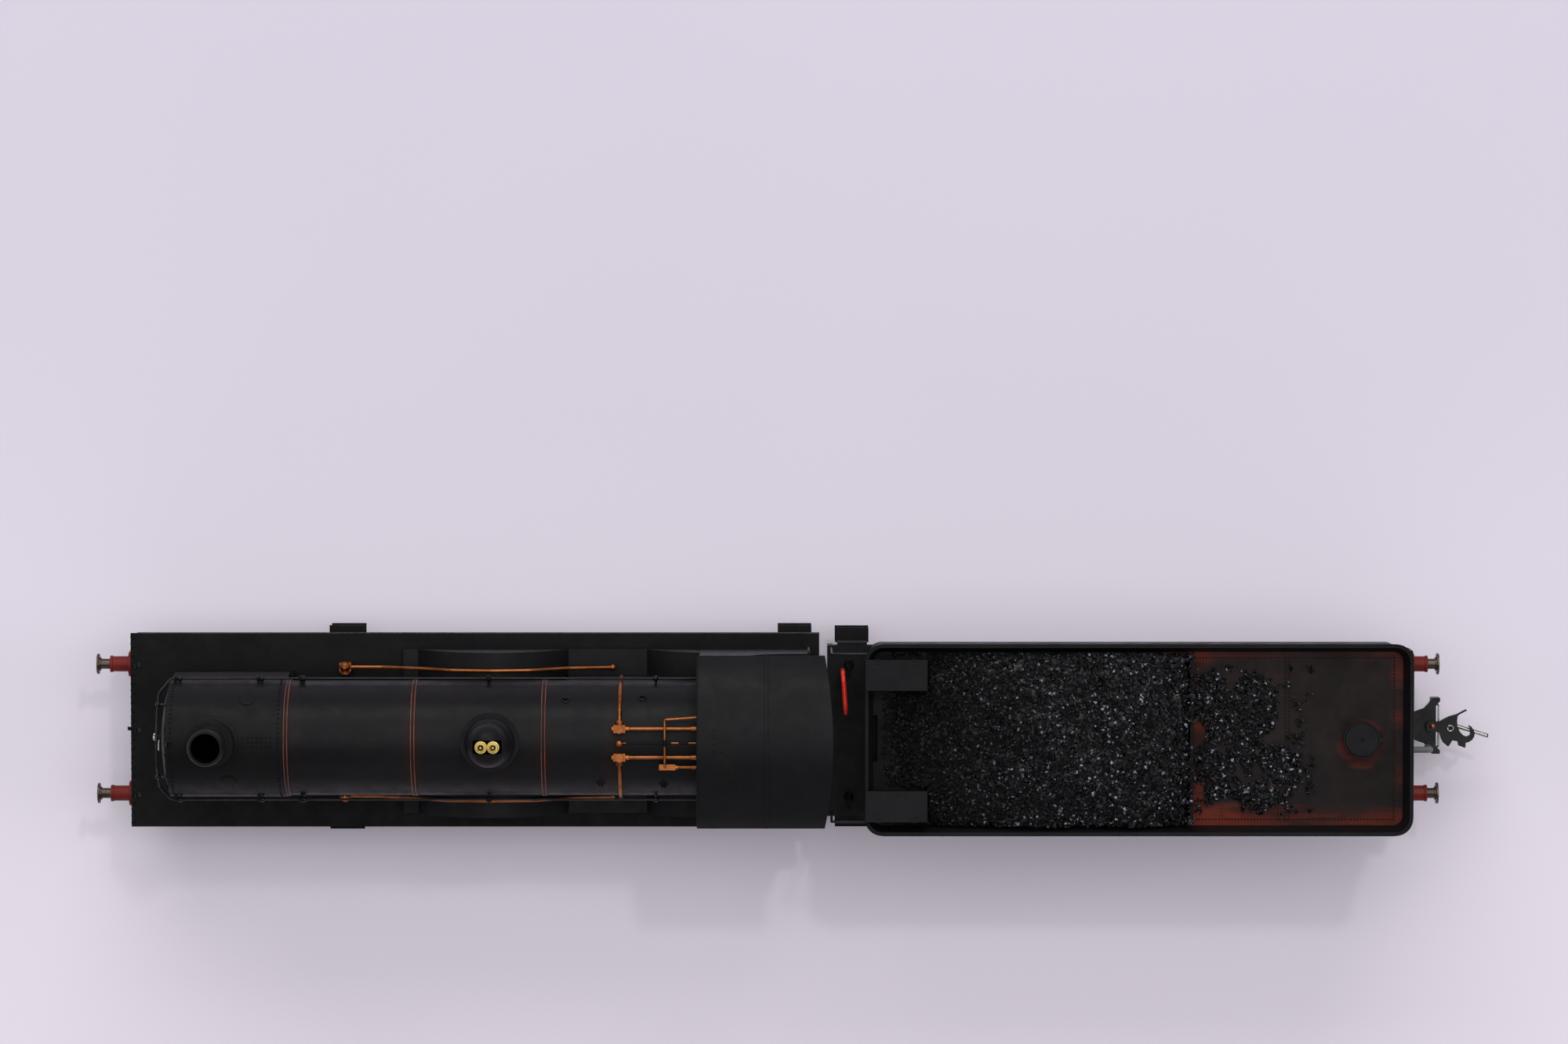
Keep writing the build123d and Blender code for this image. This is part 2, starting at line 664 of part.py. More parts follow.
with BuildPart() as steam_fittings:
    for side in (1, -1):
        y = side * fitting_y
        foot_z = boiler_height(fitting_y, boiler_r) - 0.6
        block((fitting_x - 1.0, fitting_x + 1.0), (y - 0.68, y + 0.68), (foot_z, 43.7))
        rod((fitting_x, y, 43.6), (fitting_x, y, 44.1), 0.45)
        rod((fitting_x, y, 44.1), (fitting_x, y, 44.4), 0.72)
        rod((fitting_x + 0.9, y, 43.0), (cab_front_x, y, 43.0), 0.32)
        bend_r = boiler_r + 0.34
        start = math.asin(3.0 / bend_r)
        with BuildLine(Plane.YZ.offset(fitting_x)) as shoulder:
            first = (side * 3.0, boiler_z + bend_r * math.cos(start))
            RadiusArc(first, (side * bend_r, boiler_z), side * bend_r)
            Line((side * bend_r, boiler_z), (side * bend_r, 28.8))
        with BuildSketch(Plane(origin=shoulder.line @ 0, z_dir=shoulder.line % 0)) as section:
            Circle(0.32)
        sweep(section.sketch, path=shoulder.line)
    rod((fitting_x, 0, 41.8), (fitting_x, 0, 43.8), 0.55)
    rod((fitting_x + 0.3, 0, 43.0), (cab_front_x, 0, 43.0), 0.16)
    wire([(cab_front_x, 4.4, 43.0), (-22.3, 4.0, 43.1), (-22.3, 3.4, 43.9), (-22.3, -3.4, 43.9),
          (-22.3, -4.2, 42.6)], 0.21, 0.35)
    block((-23.3, -20.5), (-4.7, -3.7), (41.2, 42.6))
    rod((-20.6, -4.2, 42.1), (cab_front_x, -4.2, 42.1), 0.25)
    add(boiler.part, mode=Mode.SUBTRACT)
    rod((-88, 0, boiler_z), (-16, 0, boiler_z), boiler_r - 0.05, Mode.SUBTRACT)


# ---------------------------------------------------------------- cab
roof_r = (roof_half**2 + roof_rise**2) / (2 * roof_rise)
roof_centre_z = eaves_z + roof_rise - roof_r


def side_sheet_outline():
    """Cab side seen from the right: full height in front, a curved cut-out behind."""
    with BuildSketch(Plane.XZ) as outline:
        with BuildLine():
            Polyline((cab_front_x, 17.7), (cab_front_x, 46), (-8.2, 46), (-8.2, 38.0))
            RadiusArc((-8.2, 38.0), (-1.2, 31.0), -7.0)
            Polyline((-1.2, 31.0), (2.6, 31.0), (2.6, 17.7), (cab_front_x, 17.7))
        make_face()
    return outline.sketch


with BuildPart() as cab:
    for y in ((cab_half - cab_wall, cab_half), (-cab_half, -cab_half + cab_wall)):
        extrude(side_sheet_outline().moved(Location((0, y[1], 0))), amount=cab_wall, dir=(0, -1, 0))
    block((cab_front_x, cab_front_x + cab_wall), (-cab_half, cab_half), (plate_top, 47))
    with BuildSketch(Plane.YZ.offset(cab_front_x - 1)) as windows:
        for side in (1, -1):
            with Locations((side * 11.6, 37.6)):
                SlotOverall(5.4, 3.0, rotation=90)
    extrude(windows.sketch, amount=3, mode=Mode.SUBTRACT)
    with BuildSketch(Plane.YZ.offset(cab_front_x - 1)) as above_roof:
        with Locations((0, 45)):
            Rectangle(40, 30)
        with Locations((0, roof_centre_z)):
            Circle(roof_r - 0.5, mode=Mode.SUBTRACT)
        with Locations((0, 26)):
            Rectangle(40, 26, mode=Mode.SUBTRACT)
    extrude(above_roof.sketch, amount=25, mode=Mode.SUBTRACT)
    add(splasher_outside, mode=Mode.SUBTRACT)
    block((cab_front_x - 1, 3), (-20, 20), (0, plate_top), Mode.SUBTRACT)

with BuildPart() as cab_roof:
    with BuildSketch(Plane.YZ.offset(-16.85)) as section:
        with Locations((0, roof_centre_z)):
            Circle(roof_r)
            Circle(roof_r - 0.5, mode=Mode.SUBTRACT)
        with Locations((0, eaves_z + 20)):
            Rectangle(2 * roof_half, 40, mode=Mode.INTERSECT)
    extrude(section.sketch, amount=24)
    with BuildSketch(Plane.XY.offset(30)) as plan:
        with BuildLine():
            Polyline((-16.85, -roof_half - 1), (5.05, -roof_half - 1), (5.05, -roof_half))
            ThreePointArc((5.05, -roof_half), (6.45, 0), (5.05, roof_half))
            Polyline((5.05, roof_half), (5.05, roof_half + 1), (-16.85, roof_half + 1))
            Line((-16.85, roof_half + 1), (-16.85, -roof_half - 1))
        make_face()
    extrude(plan.sketch, amount=40, mode=Mode.INTERSECT)
    with BuildSketch(Plane.YZ.offset(-5.25)) as rib:
        with Locations((0, roof_centre_z)):
            Circle(roof_r + 0.15)
            Circle(roof_r - 0.1, mode=Mode.SUBTRACT)
        with Locations((0, eaves_z + 20)):
            Rectangle(2 * roof_half, 40, mode=Mode.INTERSECT)
    extrude(rib.sketch, amount=0.6)

with BuildPart() as backhead:
    back = cab_front_x + cab_wall
    block((back, back + 1.6), (-6.4, 6.4), (plate_top, 33.0))
    rod((back, 0, boiler_z), (back + 1.6, 0, boiler_z), 8.4)
    rod((back + 1.5, 0, 27.5), (back + 2.0, 0, 27.5), 1.7)
    for y in (-3.4, 3.4):
        rod((back + 1.5, y, 36.4), (back + 2.3, y, 36.4), 0.8)
    rod((back + 1.5, 0, 34.0), (back + 2.6, 0, 34.0), 0.35)
    rod((back + 2.4, -2.2, 34.0), (back + 2.4, 2.2, 34.0), 0.25)
    both_sides((back, 2.4), (6.5, 6.75), (plate_top, plate_top + 0.4))
    add(splasher_outside, mode=Mode.SUBTRACT)

with BuildPart() as front_coupling_hook:
    rod((front_x - 0.3, 0, buffer_z), (front_x, 0, buffer_z), 0.9)
    slab([(front_x - 0.25, 13.9), (front_x - 0.25, 14.9), (front_x - 0.65, 15.1), (front_x - 0.95, 14.8),
          (front_x - 1.0, 13.9), (front_x - 0.75, 13.9), (front_x - 0.7, 14.4), (front_x - 0.55, 14.5)],
         (-0.3, 0.3))


# ---------------------------------------------------------------- buffers
def make_housings(beam_x, outward, body_r, flange_r, length):
    """The two sleeves of one end, each with a bore for its ram and spring."""
    mouth = beam_x + outward * length
    with BuildPart() as part:
        for side in (1, -1):
            y = side * buffer_y
            rod((beam_x, y, buffer_z), (beam_x + outward * 0.6, y, buffer_z), flange_r)
            rod((beam_x, y, buffer_z), (mouth, y, buffer_z), body_r)
            collar = mouth - outward * 0.45
            rod((collar, y, buffer_z), (mouth, y, buffer_z), body_r + 0.12)
            lip = mouth - outward * 0.5
            rod((beam_x - outward, y, buffer_z), (lip, y, buffer_z), 1.05, Mode.SUBTRACT)
            ram_fit = buffer_ram_r + running_fit
            rod((lip, y, buffer_z), (mouth + outward, y, buffer_z), ram_fit, Mode.SUBTRACT)
    return part.part


def make_buffer(side, beam_x, outward, reach, head_r, length):
    """Head, ram and retaining shoulder of one buffer."""
    face = outward * reach
    lip = beam_x + outward * (length - 0.5)
    y = side * buffer_y
    with BuildPart() as part:
        back = face - outward * 0.35
        rod((face, y, buffer_z), (back, y, buffer_z), head_r)
        rod((back, y, buffer_z), (back - outward * 0.3, y, buffer_z), buffer_ram_r + 0.25)
        rod((back, y, buffer_z), (lip - outward * 0.3, y, buffer_z), buffer_ram_r)
        shoulder = lip - outward * 0.02
        rod((shoulder, y, buffer_z), (shoulder - outward * 0.5, y, buffer_z), 1.0)
    return part.part


def make_buffer_spring(side, beam_x, outward, length):
    """Coil spring between the beam and the ram's shoulder."""
    end = beam_x + outward * (length - 0.5 - 0.02 - 0.5 - 0.16)
    start = beam_x + outward * 0.14
    place = Plane(origin=(start, side * buffer_y, buffer_z), z_dir=(outward, 0, 0))
    with BuildPart() as part:
        with BuildLine() as coil:
            Helix(pitch=abs(end - start) / 4, height=abs(end - start), radius=0.84)
        path = coil.line.moved(place.location)
        with BuildSketch(Plane(origin=path @ 0, z_dir=path % 0)) as section:
            Circle(0.11)
        sweep(section.sketch, path=path, is_frenet=True)
    return part.part


front_buffer_housings = make_housings(front_x, -1, 1.35, 2.2, front_length)
rear_buffer_housings = make_housings(rear_beam_x, 1, 1.35, 1.9, rear_length)


# ---------------------------------------------------------------- tender
def rounded_plan(x, half, corner, z, height):
    """A block with rounded upright corners."""
    with BuildPart() as part:
        with BuildSketch(Plane.XY.offset(z)) as plan:
            with Locations(((x[0] + x[1]) / 2, 0)):
                RectangleRounded(x[1] - x[0], 2 * half, corner)
        extrude(plan.sketch, amount=height)
    return part.part


with BuildPart() as tender_chassis:
    block((tender_front_x, rear_beam_x - 3.4), (-tender_half, tender_half), (17.0, tank_floor))
    narrow = (-rear_beam_half, rear_beam_half)
    block((rear_beam_x - 3.4, rear_beam_x - 0.8), narrow, (17.0, tank_floor))
    both_sides((tank_x[0], rear_beam_x - 0.8), (13.2, 14.0), (12.2, 17.0))
    block((tender_front_x, tender_front_x + 1.0), (-tender_half, tender_half), (14.6, 17.0))
    block((rear_beam_x - 0.8, rear_beam_x), narrow, (11.0, tank_floor))
    for side in (1, -1):
        y = side * buffer_y
        rod((rear_beam_x - 2, y, buffer_z), (rear_beam_x + 2, y, buffer_z), 0.5, Mode.SUBTRACT)
    for x in tender_bogie_x:
        block((x - 3.5, x + 3.5), (-4.0, 4.0), (12.2, 17.1))
        rod((x, 0, 11), (x, 0, 16), pivot_screw_r, Mode.SUBTRACT)
    block((drawbar_x[1] - 2.5, drawbar_x[1] + 2.5), (-2.5, 2.5), (drawbar_z + 0.7, 17.1))
    rod((drawbar_x[1], 0, drawbar_z - 1.0), (drawbar_x[1], 0, drawbar_z + 1.0), drawbar_pin_r)
    rod((drawbar_x[1], 0, drawbar_z - 1.2), (drawbar_x[1], 0, drawbar_z - 0.5), 1.4)
    block((98.0, 101.0), (-3.0, 3.0), (10.2, 17.1))

with BuildPart() as tender_steps:
    for side in (1, -1):
        riser = sorted((side * tender_half, side * (tender_half + 0.5)))
        lower = sorted((side * tender_half, side * 17.6))
        block((7.4, 12.6), riser, (step_z[0], tank_floor))
        rear_riser = sorted((side * 12.7, side * 13.2))
        rear_lower = sorted((side * 12.7, side * 14.6))
        block((100.9, 104.7), rear_riser, (step_z[0], 17.0))
        for z in step_z:
            block((7.04, 12.97), lower, (z, z + step_thick))
            block((100.7, 104.9), rear_lower, (z, z + step_thick))

body_x = (tank_x[0] + 0.9, tank_x[1] - 0.9)
body_half = tank_half - 0.9
with BuildPart() as tender_tank:
    add(rounded_plan(body_x, body_half, 2.2, tank_floor, tank_top - tank_floor))
    shovel_z = (24.0, tank_top + 5)
    block((body_x[0] - 1, body_x[0] + 1.3), (-4.0, 4.0), shovel_z, Mode.SUBTRACT)
    block((bulkhead_x, bulkhead_x + 0.6), (-14.4, 14.4), (tank_top - 0.1, flare_top))

with BuildPart() as toolboxes:
    for side in (1, -1):
        y = sorted((side * toolbox_y[0], side * toolbox_y[1]))
        block(toolbox_x, y, (tank_top, 39.0))
        block((toolbox_x[0] + 0.1, toolbox_x[1] - 0.1), (y[0] + 0.1, y[1] - 0.1), (39.0, 39.3))

with BuildPart() as tank_flare:
    with BuildSketch(Plane.XY.offset(tank_top)) as foot:
        with Locations(((body_x[0] + body_x[1]) / 2, 0)):
            RectangleRounded(body_x[1] - body_x[0], 2 * body_half, 2.2)
    with BuildSketch(Plane.XY.offset(flare_top)) as rim:
        with Locations(((tank_x[0] + tank_x[1]) / 2, 0)):
            RectangleRounded(tank_x[1] - tank_x[0], 2 * tank_half, 3.0)
    loft([foot.sketch.face(), rim.sketch.face()])
    with BuildSketch(Plane.XY.offset(tank_top)) as foot_in:
        with Locations(((body_x[0] + body_x[1]) / 2, 0)):
            RectangleRounded(
                body_x[1] - body_x[0] - 2 * flare_wall, 2 * (body_half - flare_wall), 1.7
            )
    with BuildSketch(Plane.XY.offset(flare_top)) as rim_in:
        with Locations(((tank_x[0] + tank_x[1]) / 2, 0)):
            RectangleRounded(
                tank_x[1] - tank_x[0] - 2 * flare_wall, 2 * (tank_half - flare_wall), 2.5
            )
    loft([foot_in.sketch.face(), rim_in.sketch.face()], mode=Mode.SUBTRACT)
    add(toolboxes.part, mode=Mode.SUBTRACT)

with BuildPart() as coal_load:
    spread = (coal_front_x, bulkhead_x)
    with BuildSketch(Plane.XY.offset(tank_top)) as base:
        with Locations(((spread[0] + spread[1]) / 2, 0)):
            RectangleRounded(spread[1] - spread[0], 29.0, 3.0)
    with BuildSketch(Plane.XY.offset(38.6)) as middle:
        with Locations(((spread[0] + spread[1]) / 2 - 1, 0)):
            RectangleRounded(spread[1] - spread[0] - 6, 27.0, 6.0)
    with BuildSketch(Plane.XY.offset(40.2)) as crest:
        with Locations(((spread[0] + spread[1]) / 2 - 1, 0)):
            RectangleRounded(spread[1] - spread[0] - 16, 17.0, 7.0)
    loft([base.sketch.face(), middle.sketch.face(), crest.sketch.face()], ruled=True)
    reach = (toolbox_x[0] - 0.2, toolbox_x[1] + 0.1)
    both_sides(reach, (toolbox_y[0] - 0.1, 20), (30, 45), Mode.SUBTRACT)

with BuildPart() as filler_cap:
    rod((filler_x, 0, tank_top), (filler_x, 0, 36.2), 2.9)
    rod((filler_x, 0, 36.2), (filler_x, 0, 36.9), 3.2)
    rod((filler_x, 0, 36.8), (filler_x, 0, 37.2), 0.4)
    block((filler_x + 3.0, filler_x + 3.8), (-0.45, 0.45), (tank_top, 36.7))

with BuildPart() as bogie_screws:
    for x in tender_bogie_x:
        rod((x, 0, 12.2), (x, 0, 15.5), pivot_screw_r)
        rod((x, 0, pivot_under), (x, 0, 12.2), pivot_neck_r)
        rod((x, 0, pivot_under), (x, 0, pivot_under + 0.85), pivot_head_r)


def make_tender_bogie(centre):
    """Inside-framed tender bogie with a stretcher around its pivot."""
    half_base = tender_bogie_base / 2
    with BuildPart() as part:
        outline = [
            (centre - half_base - 2.6, 6.6),
            (centre - half_base - 2.6, 9.4),
            (centre - half_base + 3.0, 9.4),
            (centre - half_base + 5.0, 11.6),
            (centre + half_base - 5.0, 11.6),
            (centre + half_base - 3.0, 9.4),
            (centre + half_base + 2.6, 9.4),
            (centre + half_base + 2.6, 6.6),
            (centre + half_base - 3.0, 5.4),
            (centre - half_base + 3.0, 5.4),
        ]
        slab(outline, (5.7, 6.7))
        slab(outline, (-6.7, -5.7))
        block((centre - 4.5, centre + 4.5), (-5.75, 5.75), (9.5, 11.6))
        rod((centre, 0, 5), (centre, 0, 14), pivot_neck_r + running_fit, Mode.SUBTRACT)
        for end in (-1, 1):
            x = centre + end * half_base
            hole_r = carrying_axle_r + running_fit
            rod((x, -9, carrying_z), (x, 9, carrying_z), hole_r, Mode.SUBTRACT)
    return part.part


with BuildPart() as vacuum_pipe:
    wire([(rear_beam_x, -3.7, 15.2), (rear_beam_x + 3.6, -3.7, 15.2), (rear_beam_x + 3.6, -3.7, 9.9)],
         0.55, 0.9)


def plan_slab(points, z, mode=Mode.ADD):
    """A flat piece with an outline in X and Y, as thick as the limits z."""
    with BuildSketch(Plane.XY.offset(z[0])) as plan:
        with BuildLine():
            Polyline(*points, close=True)
        make_face()
    extrude(plan.sketch, amount=z[1] - z[0], mode=mode)


def mirrored(half):
    """A closed outline from its +Y half."""
    return half + [(x, -y) for x, y in reversed(half)]


with BuildPart() as coupling_body:
    block((98.1, 100.9), (-2.1, 2.1), (7.8, 10.2))
    block((100.5, 110.2), (-2.1, 2.1), (coupling_under, coupling_top))
    fish_tail = [(109.6, 2.5), (111.3, 3.1), (112.2, 4.1), (112.7, 4.95), (114.1, 4.97),
                 (114.15, 4.4), (113.7, 3.9), (113.4, 3.5)]
    plan_slab(mirrored(fish_tail), (coupling_under, coupling_top))
    bumper = [(112.6, 4.8), (112.7, 4.95), (114.1, 4.97), (114.15, 4.4), (113.7, 3.9), (113.4, 3.5)]
    plan_slab(mirrored(bumper), (bumper_under, coupling_under + 0.1))
    rod((rivet_x, 0, coupling_under), (rivet_x, 0, hook_top + 0.3), rivet_r)
    rod((rivet_x, 0, hook_top + 0.05), (rivet_x, 0, hook_top + 0.3), rivet_r + 0.12)

with BuildPart() as coupling_parts:
    add(coupling_body.part)
    wire([(113.4, 3.8, 8.8), (113.9, 3.7, 8.8), (113.9, -3.7, 8.8), (113.4, -3.8, 8.8)], 0.13, 0.3)

with BuildPart() as coupling_hook:
    tongue = [(113.96, -1.1), (111.9, -0.85), (111.6, -0.5), (111.6, 0.5), (111.9, 0.85), (113.96, 0.83)]
    blade = [(114.6, 1.23), (115.55, 1.71), (116.98, 2.15), (118.58, 2.98), (118.82, 2.82),
             (117.46, 2.11), (117.11, 1.79), (117.02, 0.91), (117.11, -0.04)]
    horn = [(117.54, -1.0), (118.18, -1.63), (118.74, -1.83), (119.29, -1.55), (119.45, -1.0),
            (119.4, -0.4), (119.02, 0.04), (119.13, 0.16), (119.53, -0.04), (119.93, -0.6),
            (120.17, -1.16), (120.09, -1.79), (119.69, -2.43), (119.05, -2.83), (118.58, -2.91)]
    tabs = [(118.5, -3.86), (117.3, -3.39), (117.14, -2.67), (116.19, -2.51), (115.87, -3.07),
            (115.47, -3.62), (114.6, -2.91), (114.2, -2.11)]
    plan_slab(tongue + blade + horn + tabs, (hook_under, hook_top))
    rod((rivet_x, 0, 9), (rivet_x, 0, 11), rivet_r + running_fit, Mode.SUBTRACT)
    rod((115.79, -0.33, hook_under), (115.79, -0.33, hook_top + 0.2), 0.57)
    rod((115.79, -0.33, hook_top - 0.2), (115.79, -0.33, hook_top + 0.5), 0.3, Mode.SUBTRACT)
    rod((116.3, 0.19, 9.2), (buffer_reach, -1.75, 9.2), 0.33)
    block((buffer_reach, buffer_reach + 1), (-3, 0), (8, 11), Mode.SUBTRACT)

with BuildPart() as drawbar:
    middle_x = (drawbar_x[0] + drawbar_x[1]) / 2
    with BuildSketch(Plane.XY.offset(drawbar_z - 0.4)) as plan:
        with Locations((middle_x, 0)):
            SlotOverall(drawbar_x[1] - drawbar_x[0] + 4.6, 4.6)
        with Locations((drawbar_x[0], 0), (drawbar_x[1], 0)):
            Circle(drawbar_pin_r + running_fit, mode=Mode.SUBTRACT)
    extrude(plan.sketch, amount=0.8)

with BuildPart() as drawbar_pin:
    rod((drawbar_x[0], 0, drawbar_z - 1.0), (drawbar_x[0], 0, drawbar_z + 1.3), drawbar_pin_r)
    rod((drawbar_x[0], 0, drawbar_z - 1.2), (drawbar_x[0], 0, drawbar_z - 0.5), 1.4)

with BuildPart() as pickup_wire:
    wire([(8.35, 10.6, tank_floor), (8.35, 10.6, 25.2), (8.85, 3.4, 25.2), (8.85, 3.4, tank_floor)],
         0.42, 1.9)

# ---------------------------------------------------------------- hand over every sub-part
os.makedirs("parts", exist_ok=True)

with BuildPart() as chassis_with_pin:
    add(make_chassis_block())
    add(drawbar_pin.part)

with BuildPart() as underframe:
    add(tender_chassis.part)
    add(bogie_screws.part, mode=Mode.SUBTRACT)

built = {
    "footplate": footplate.part,
    "footsteps": footsteps.part,
    "splashers": splashers.part,
    "boiler": boiler.part,
    "boiler_bands": boiler_bands.part,
    "smokebox": smokebox.part,
    "smokebox_door": smokebox_door.part,
    "chimney": chimney.part,
    "dome": dome.part,
    "safety_valves": safety_valves.part,
    "handrails": handrails.part,
    "feed_pipes": feed_pipes.part,
    "steam_fittings": steam_fittings.part,
    "cab": cab.part,
    "cab_roof": cab_roof.part,
    "backhead": backhead.part,
    "front_coupling_hook": front_coupling_hook.part,
    "front_buffer_housings": front_buffer_housings,
    "chassis_block": chassis_with_pin.part,
    "keeper_plate": make_keeper_plate(),
    "chassis_screws": make_chassis_screws(),
    "motor": make_motor(),
    "worm_shaft": make_worm_shaft(),
    "axle_gear": make_axle_gear(),
    "driving_wheelset_front": driving_wheelset(driver_x[0]),
    "driving_wheelset_rear": driving_wheelset(driver_x[1]),
    "coupling_rod_right": coupling_rod(1),
    "coupling_rod_left": coupling_rod(-1),
    "bogie_frame": make_bogie_frame(),
    "bogie_wheelset_front": carrying_wheelset(bogie_x - bogie_base / 2),
    "bogie_wheelset_rear": carrying_wheelset(bogie_x + bogie_base / 2),
    "brake_gear": make_brake_gear(),
    "drawbar": drawbar.part,
    "pickup_wire": pickup_wire.part,
    "tender_chassis": underframe.part,
    "tender_steps": tender_steps.part,
    "tender_tank": tender_tank.part,
    "tank_flare": tank_flare.part,
    "coal_load": coal_load.part,
    "toolboxes": toolboxes.part,
    "filler_cap": filler_cap.part,
    "bogie_screws": bogie_screws.part,
    "tender_bogie_front": make_tender_bogie(tender_bogie_x[0]),
    "tender_bogie_rear": make_tender_bogie(tender_bogie_x[1]),
    "rear_buffer_housings": rear_buffer_housings,
    "vacuum_pipe": vacuum_pipe.part,
    "coupling_body": coupling_parts.part,
    "coupling_hook": coupling_hook.part,
}
tender_axles = [
    centre + end * tender_bogie_base / 2 for centre in tender_bogie_x for end in (-1, 1)
]
for count, axle_x in enumerate(tender_axles, start=1):
    built[f"tender_wheelset_{count}"] = carrying_wheelset(axle_x)
for hand, side in (("right", 1), ("left", -1)):
    built[f"front_buffer_{hand}"] = make_buffer(side, front_x, -1, buffer_reach, 1.78, front_length)
    built[f"rear_buffer_{hand}"] = make_buffer(
        side, rear_beam_x, 1, rear_buffer_reach, 1.86, rear_length
    )
    built[f"front_spring_{hand}"] = make_buffer_spring(side, front_x, -1, front_length)
    built[f"rear_spring_{hand}"] = make_buffer_spring(side, rear_beam_x, 1, rear_length)
for name, part in built.items():
    finish(part, name)
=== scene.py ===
import math
import random

import bmesh
import bpy
import numpy as np
from mathutils import Matrix, Quaternion, Vector, noise


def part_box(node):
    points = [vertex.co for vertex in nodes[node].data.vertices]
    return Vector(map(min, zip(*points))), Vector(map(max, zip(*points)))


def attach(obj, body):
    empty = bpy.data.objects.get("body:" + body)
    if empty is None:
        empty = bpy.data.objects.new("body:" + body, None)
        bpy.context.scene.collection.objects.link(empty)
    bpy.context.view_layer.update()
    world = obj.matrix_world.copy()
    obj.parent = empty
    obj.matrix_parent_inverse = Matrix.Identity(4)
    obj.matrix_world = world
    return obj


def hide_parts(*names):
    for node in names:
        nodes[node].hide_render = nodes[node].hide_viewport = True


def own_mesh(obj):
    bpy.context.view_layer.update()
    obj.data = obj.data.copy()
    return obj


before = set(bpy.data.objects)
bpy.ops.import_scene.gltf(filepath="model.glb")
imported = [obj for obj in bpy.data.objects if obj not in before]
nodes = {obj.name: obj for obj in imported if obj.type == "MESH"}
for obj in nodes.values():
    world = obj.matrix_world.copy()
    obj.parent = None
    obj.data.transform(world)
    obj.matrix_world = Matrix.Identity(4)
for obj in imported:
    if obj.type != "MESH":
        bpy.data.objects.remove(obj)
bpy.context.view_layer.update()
scene = bpy.context.scene
MM = 0.001
UP, FRONT, REAR = (0, 0, 1), (-1, 0, 0), (1, 0, 0)
chance = random.Random(11)


def limits(node):
    """The lowest and highest corner of a CAD node, in millimetres."""
    low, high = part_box(node)
    return low / MM, high / MM


# -------- camera and lights
# solved from the photograph, which looks almost straight down
CAMERA_PLACE = Vector((-1.93, 85.9, 986.6)) * MM
CAMERA_AIM = Vector((0.0, -0.0509, -0.9987))
CAMERA_UP = Vector((0.0, 0.9987, -0.0509))

camera = bpy.data.objects.new("camera", bpy.data.cameras.new("camera"))
scene.collection.objects.link(camera)
camera_right = CAMERA_AIM.cross(CAMERA_UP).normalized()
turn = Matrix((camera_right, CAMERA_UP.normalized(), -CAMERA_AIM.normalized())).transposed()
camera.matrix_world = Matrix.Translation(CAMERA_PLACE) @ turn.to_4x4()
camera.data.sensor_width = 36.0
camera.data.lens = 127.24
camera.data.clip_start = 0.01
camera.data.clip_end = 20.0
scene.camera = camera

LAMP_AIM = Vector((0, 0, 0.03))


def softbox(name, place, size, power, tint=(1, 1, 1)):
    """A rectangular lamp at a place, in metres, turned towards the train."""
    light = bpy.data.lights.new(name, "AREA")
    light.shape = "RECTANGLE"
    light.size, light.size_y = size
    light.energy = power
    light.color = tint
    lamp = bpy.data.objects.new(name, light)
    scene.collection.objects.link(lamp)
    lamp.location = place
    lamp.rotation_euler = (LAMP_AIM - Vector(place)).to_track_quat("-Z", "Y").to_euler()


softbox("top_light", (0.05, 0.30, 1.75), (2.0, 1.3), 13.2, (0.995, 0.985, 1.0))
softbox("key_light", (-0.15, 1.45, 1.00), (1.6, 0.8), 13.0, (1.0, 0.99, 0.985))
softbox("front_light", (-1.70, 0.10, 0.95), (0.9, 0.9), 3.4, (0.985, 0.985, 1.0))
softbox("rear_light", (1.70, 0.10, 0.95), (0.9, 0.9), 4.5, (0.985, 0.985, 1.0))
softbox("low_light", (0.15, -1.45, 0.85), (1.6, 0.7), 2.0, (0.98, 0.975, 1.0))
softbox("glint_light", (0.35, 0.75, 1.45), (0.09, 0.09), 2.2)
world = bpy.data.worlds.new("studio")
world.use_nodes = True
background = world.node_tree.nodes["Background"]
background.inputs["Color"].default_value = (0.92, 0.90, 1.0, 1)
background.inputs["Strength"].default_value = 0.20
scene.world = world
scene.view_settings.view_transform = "Standard"


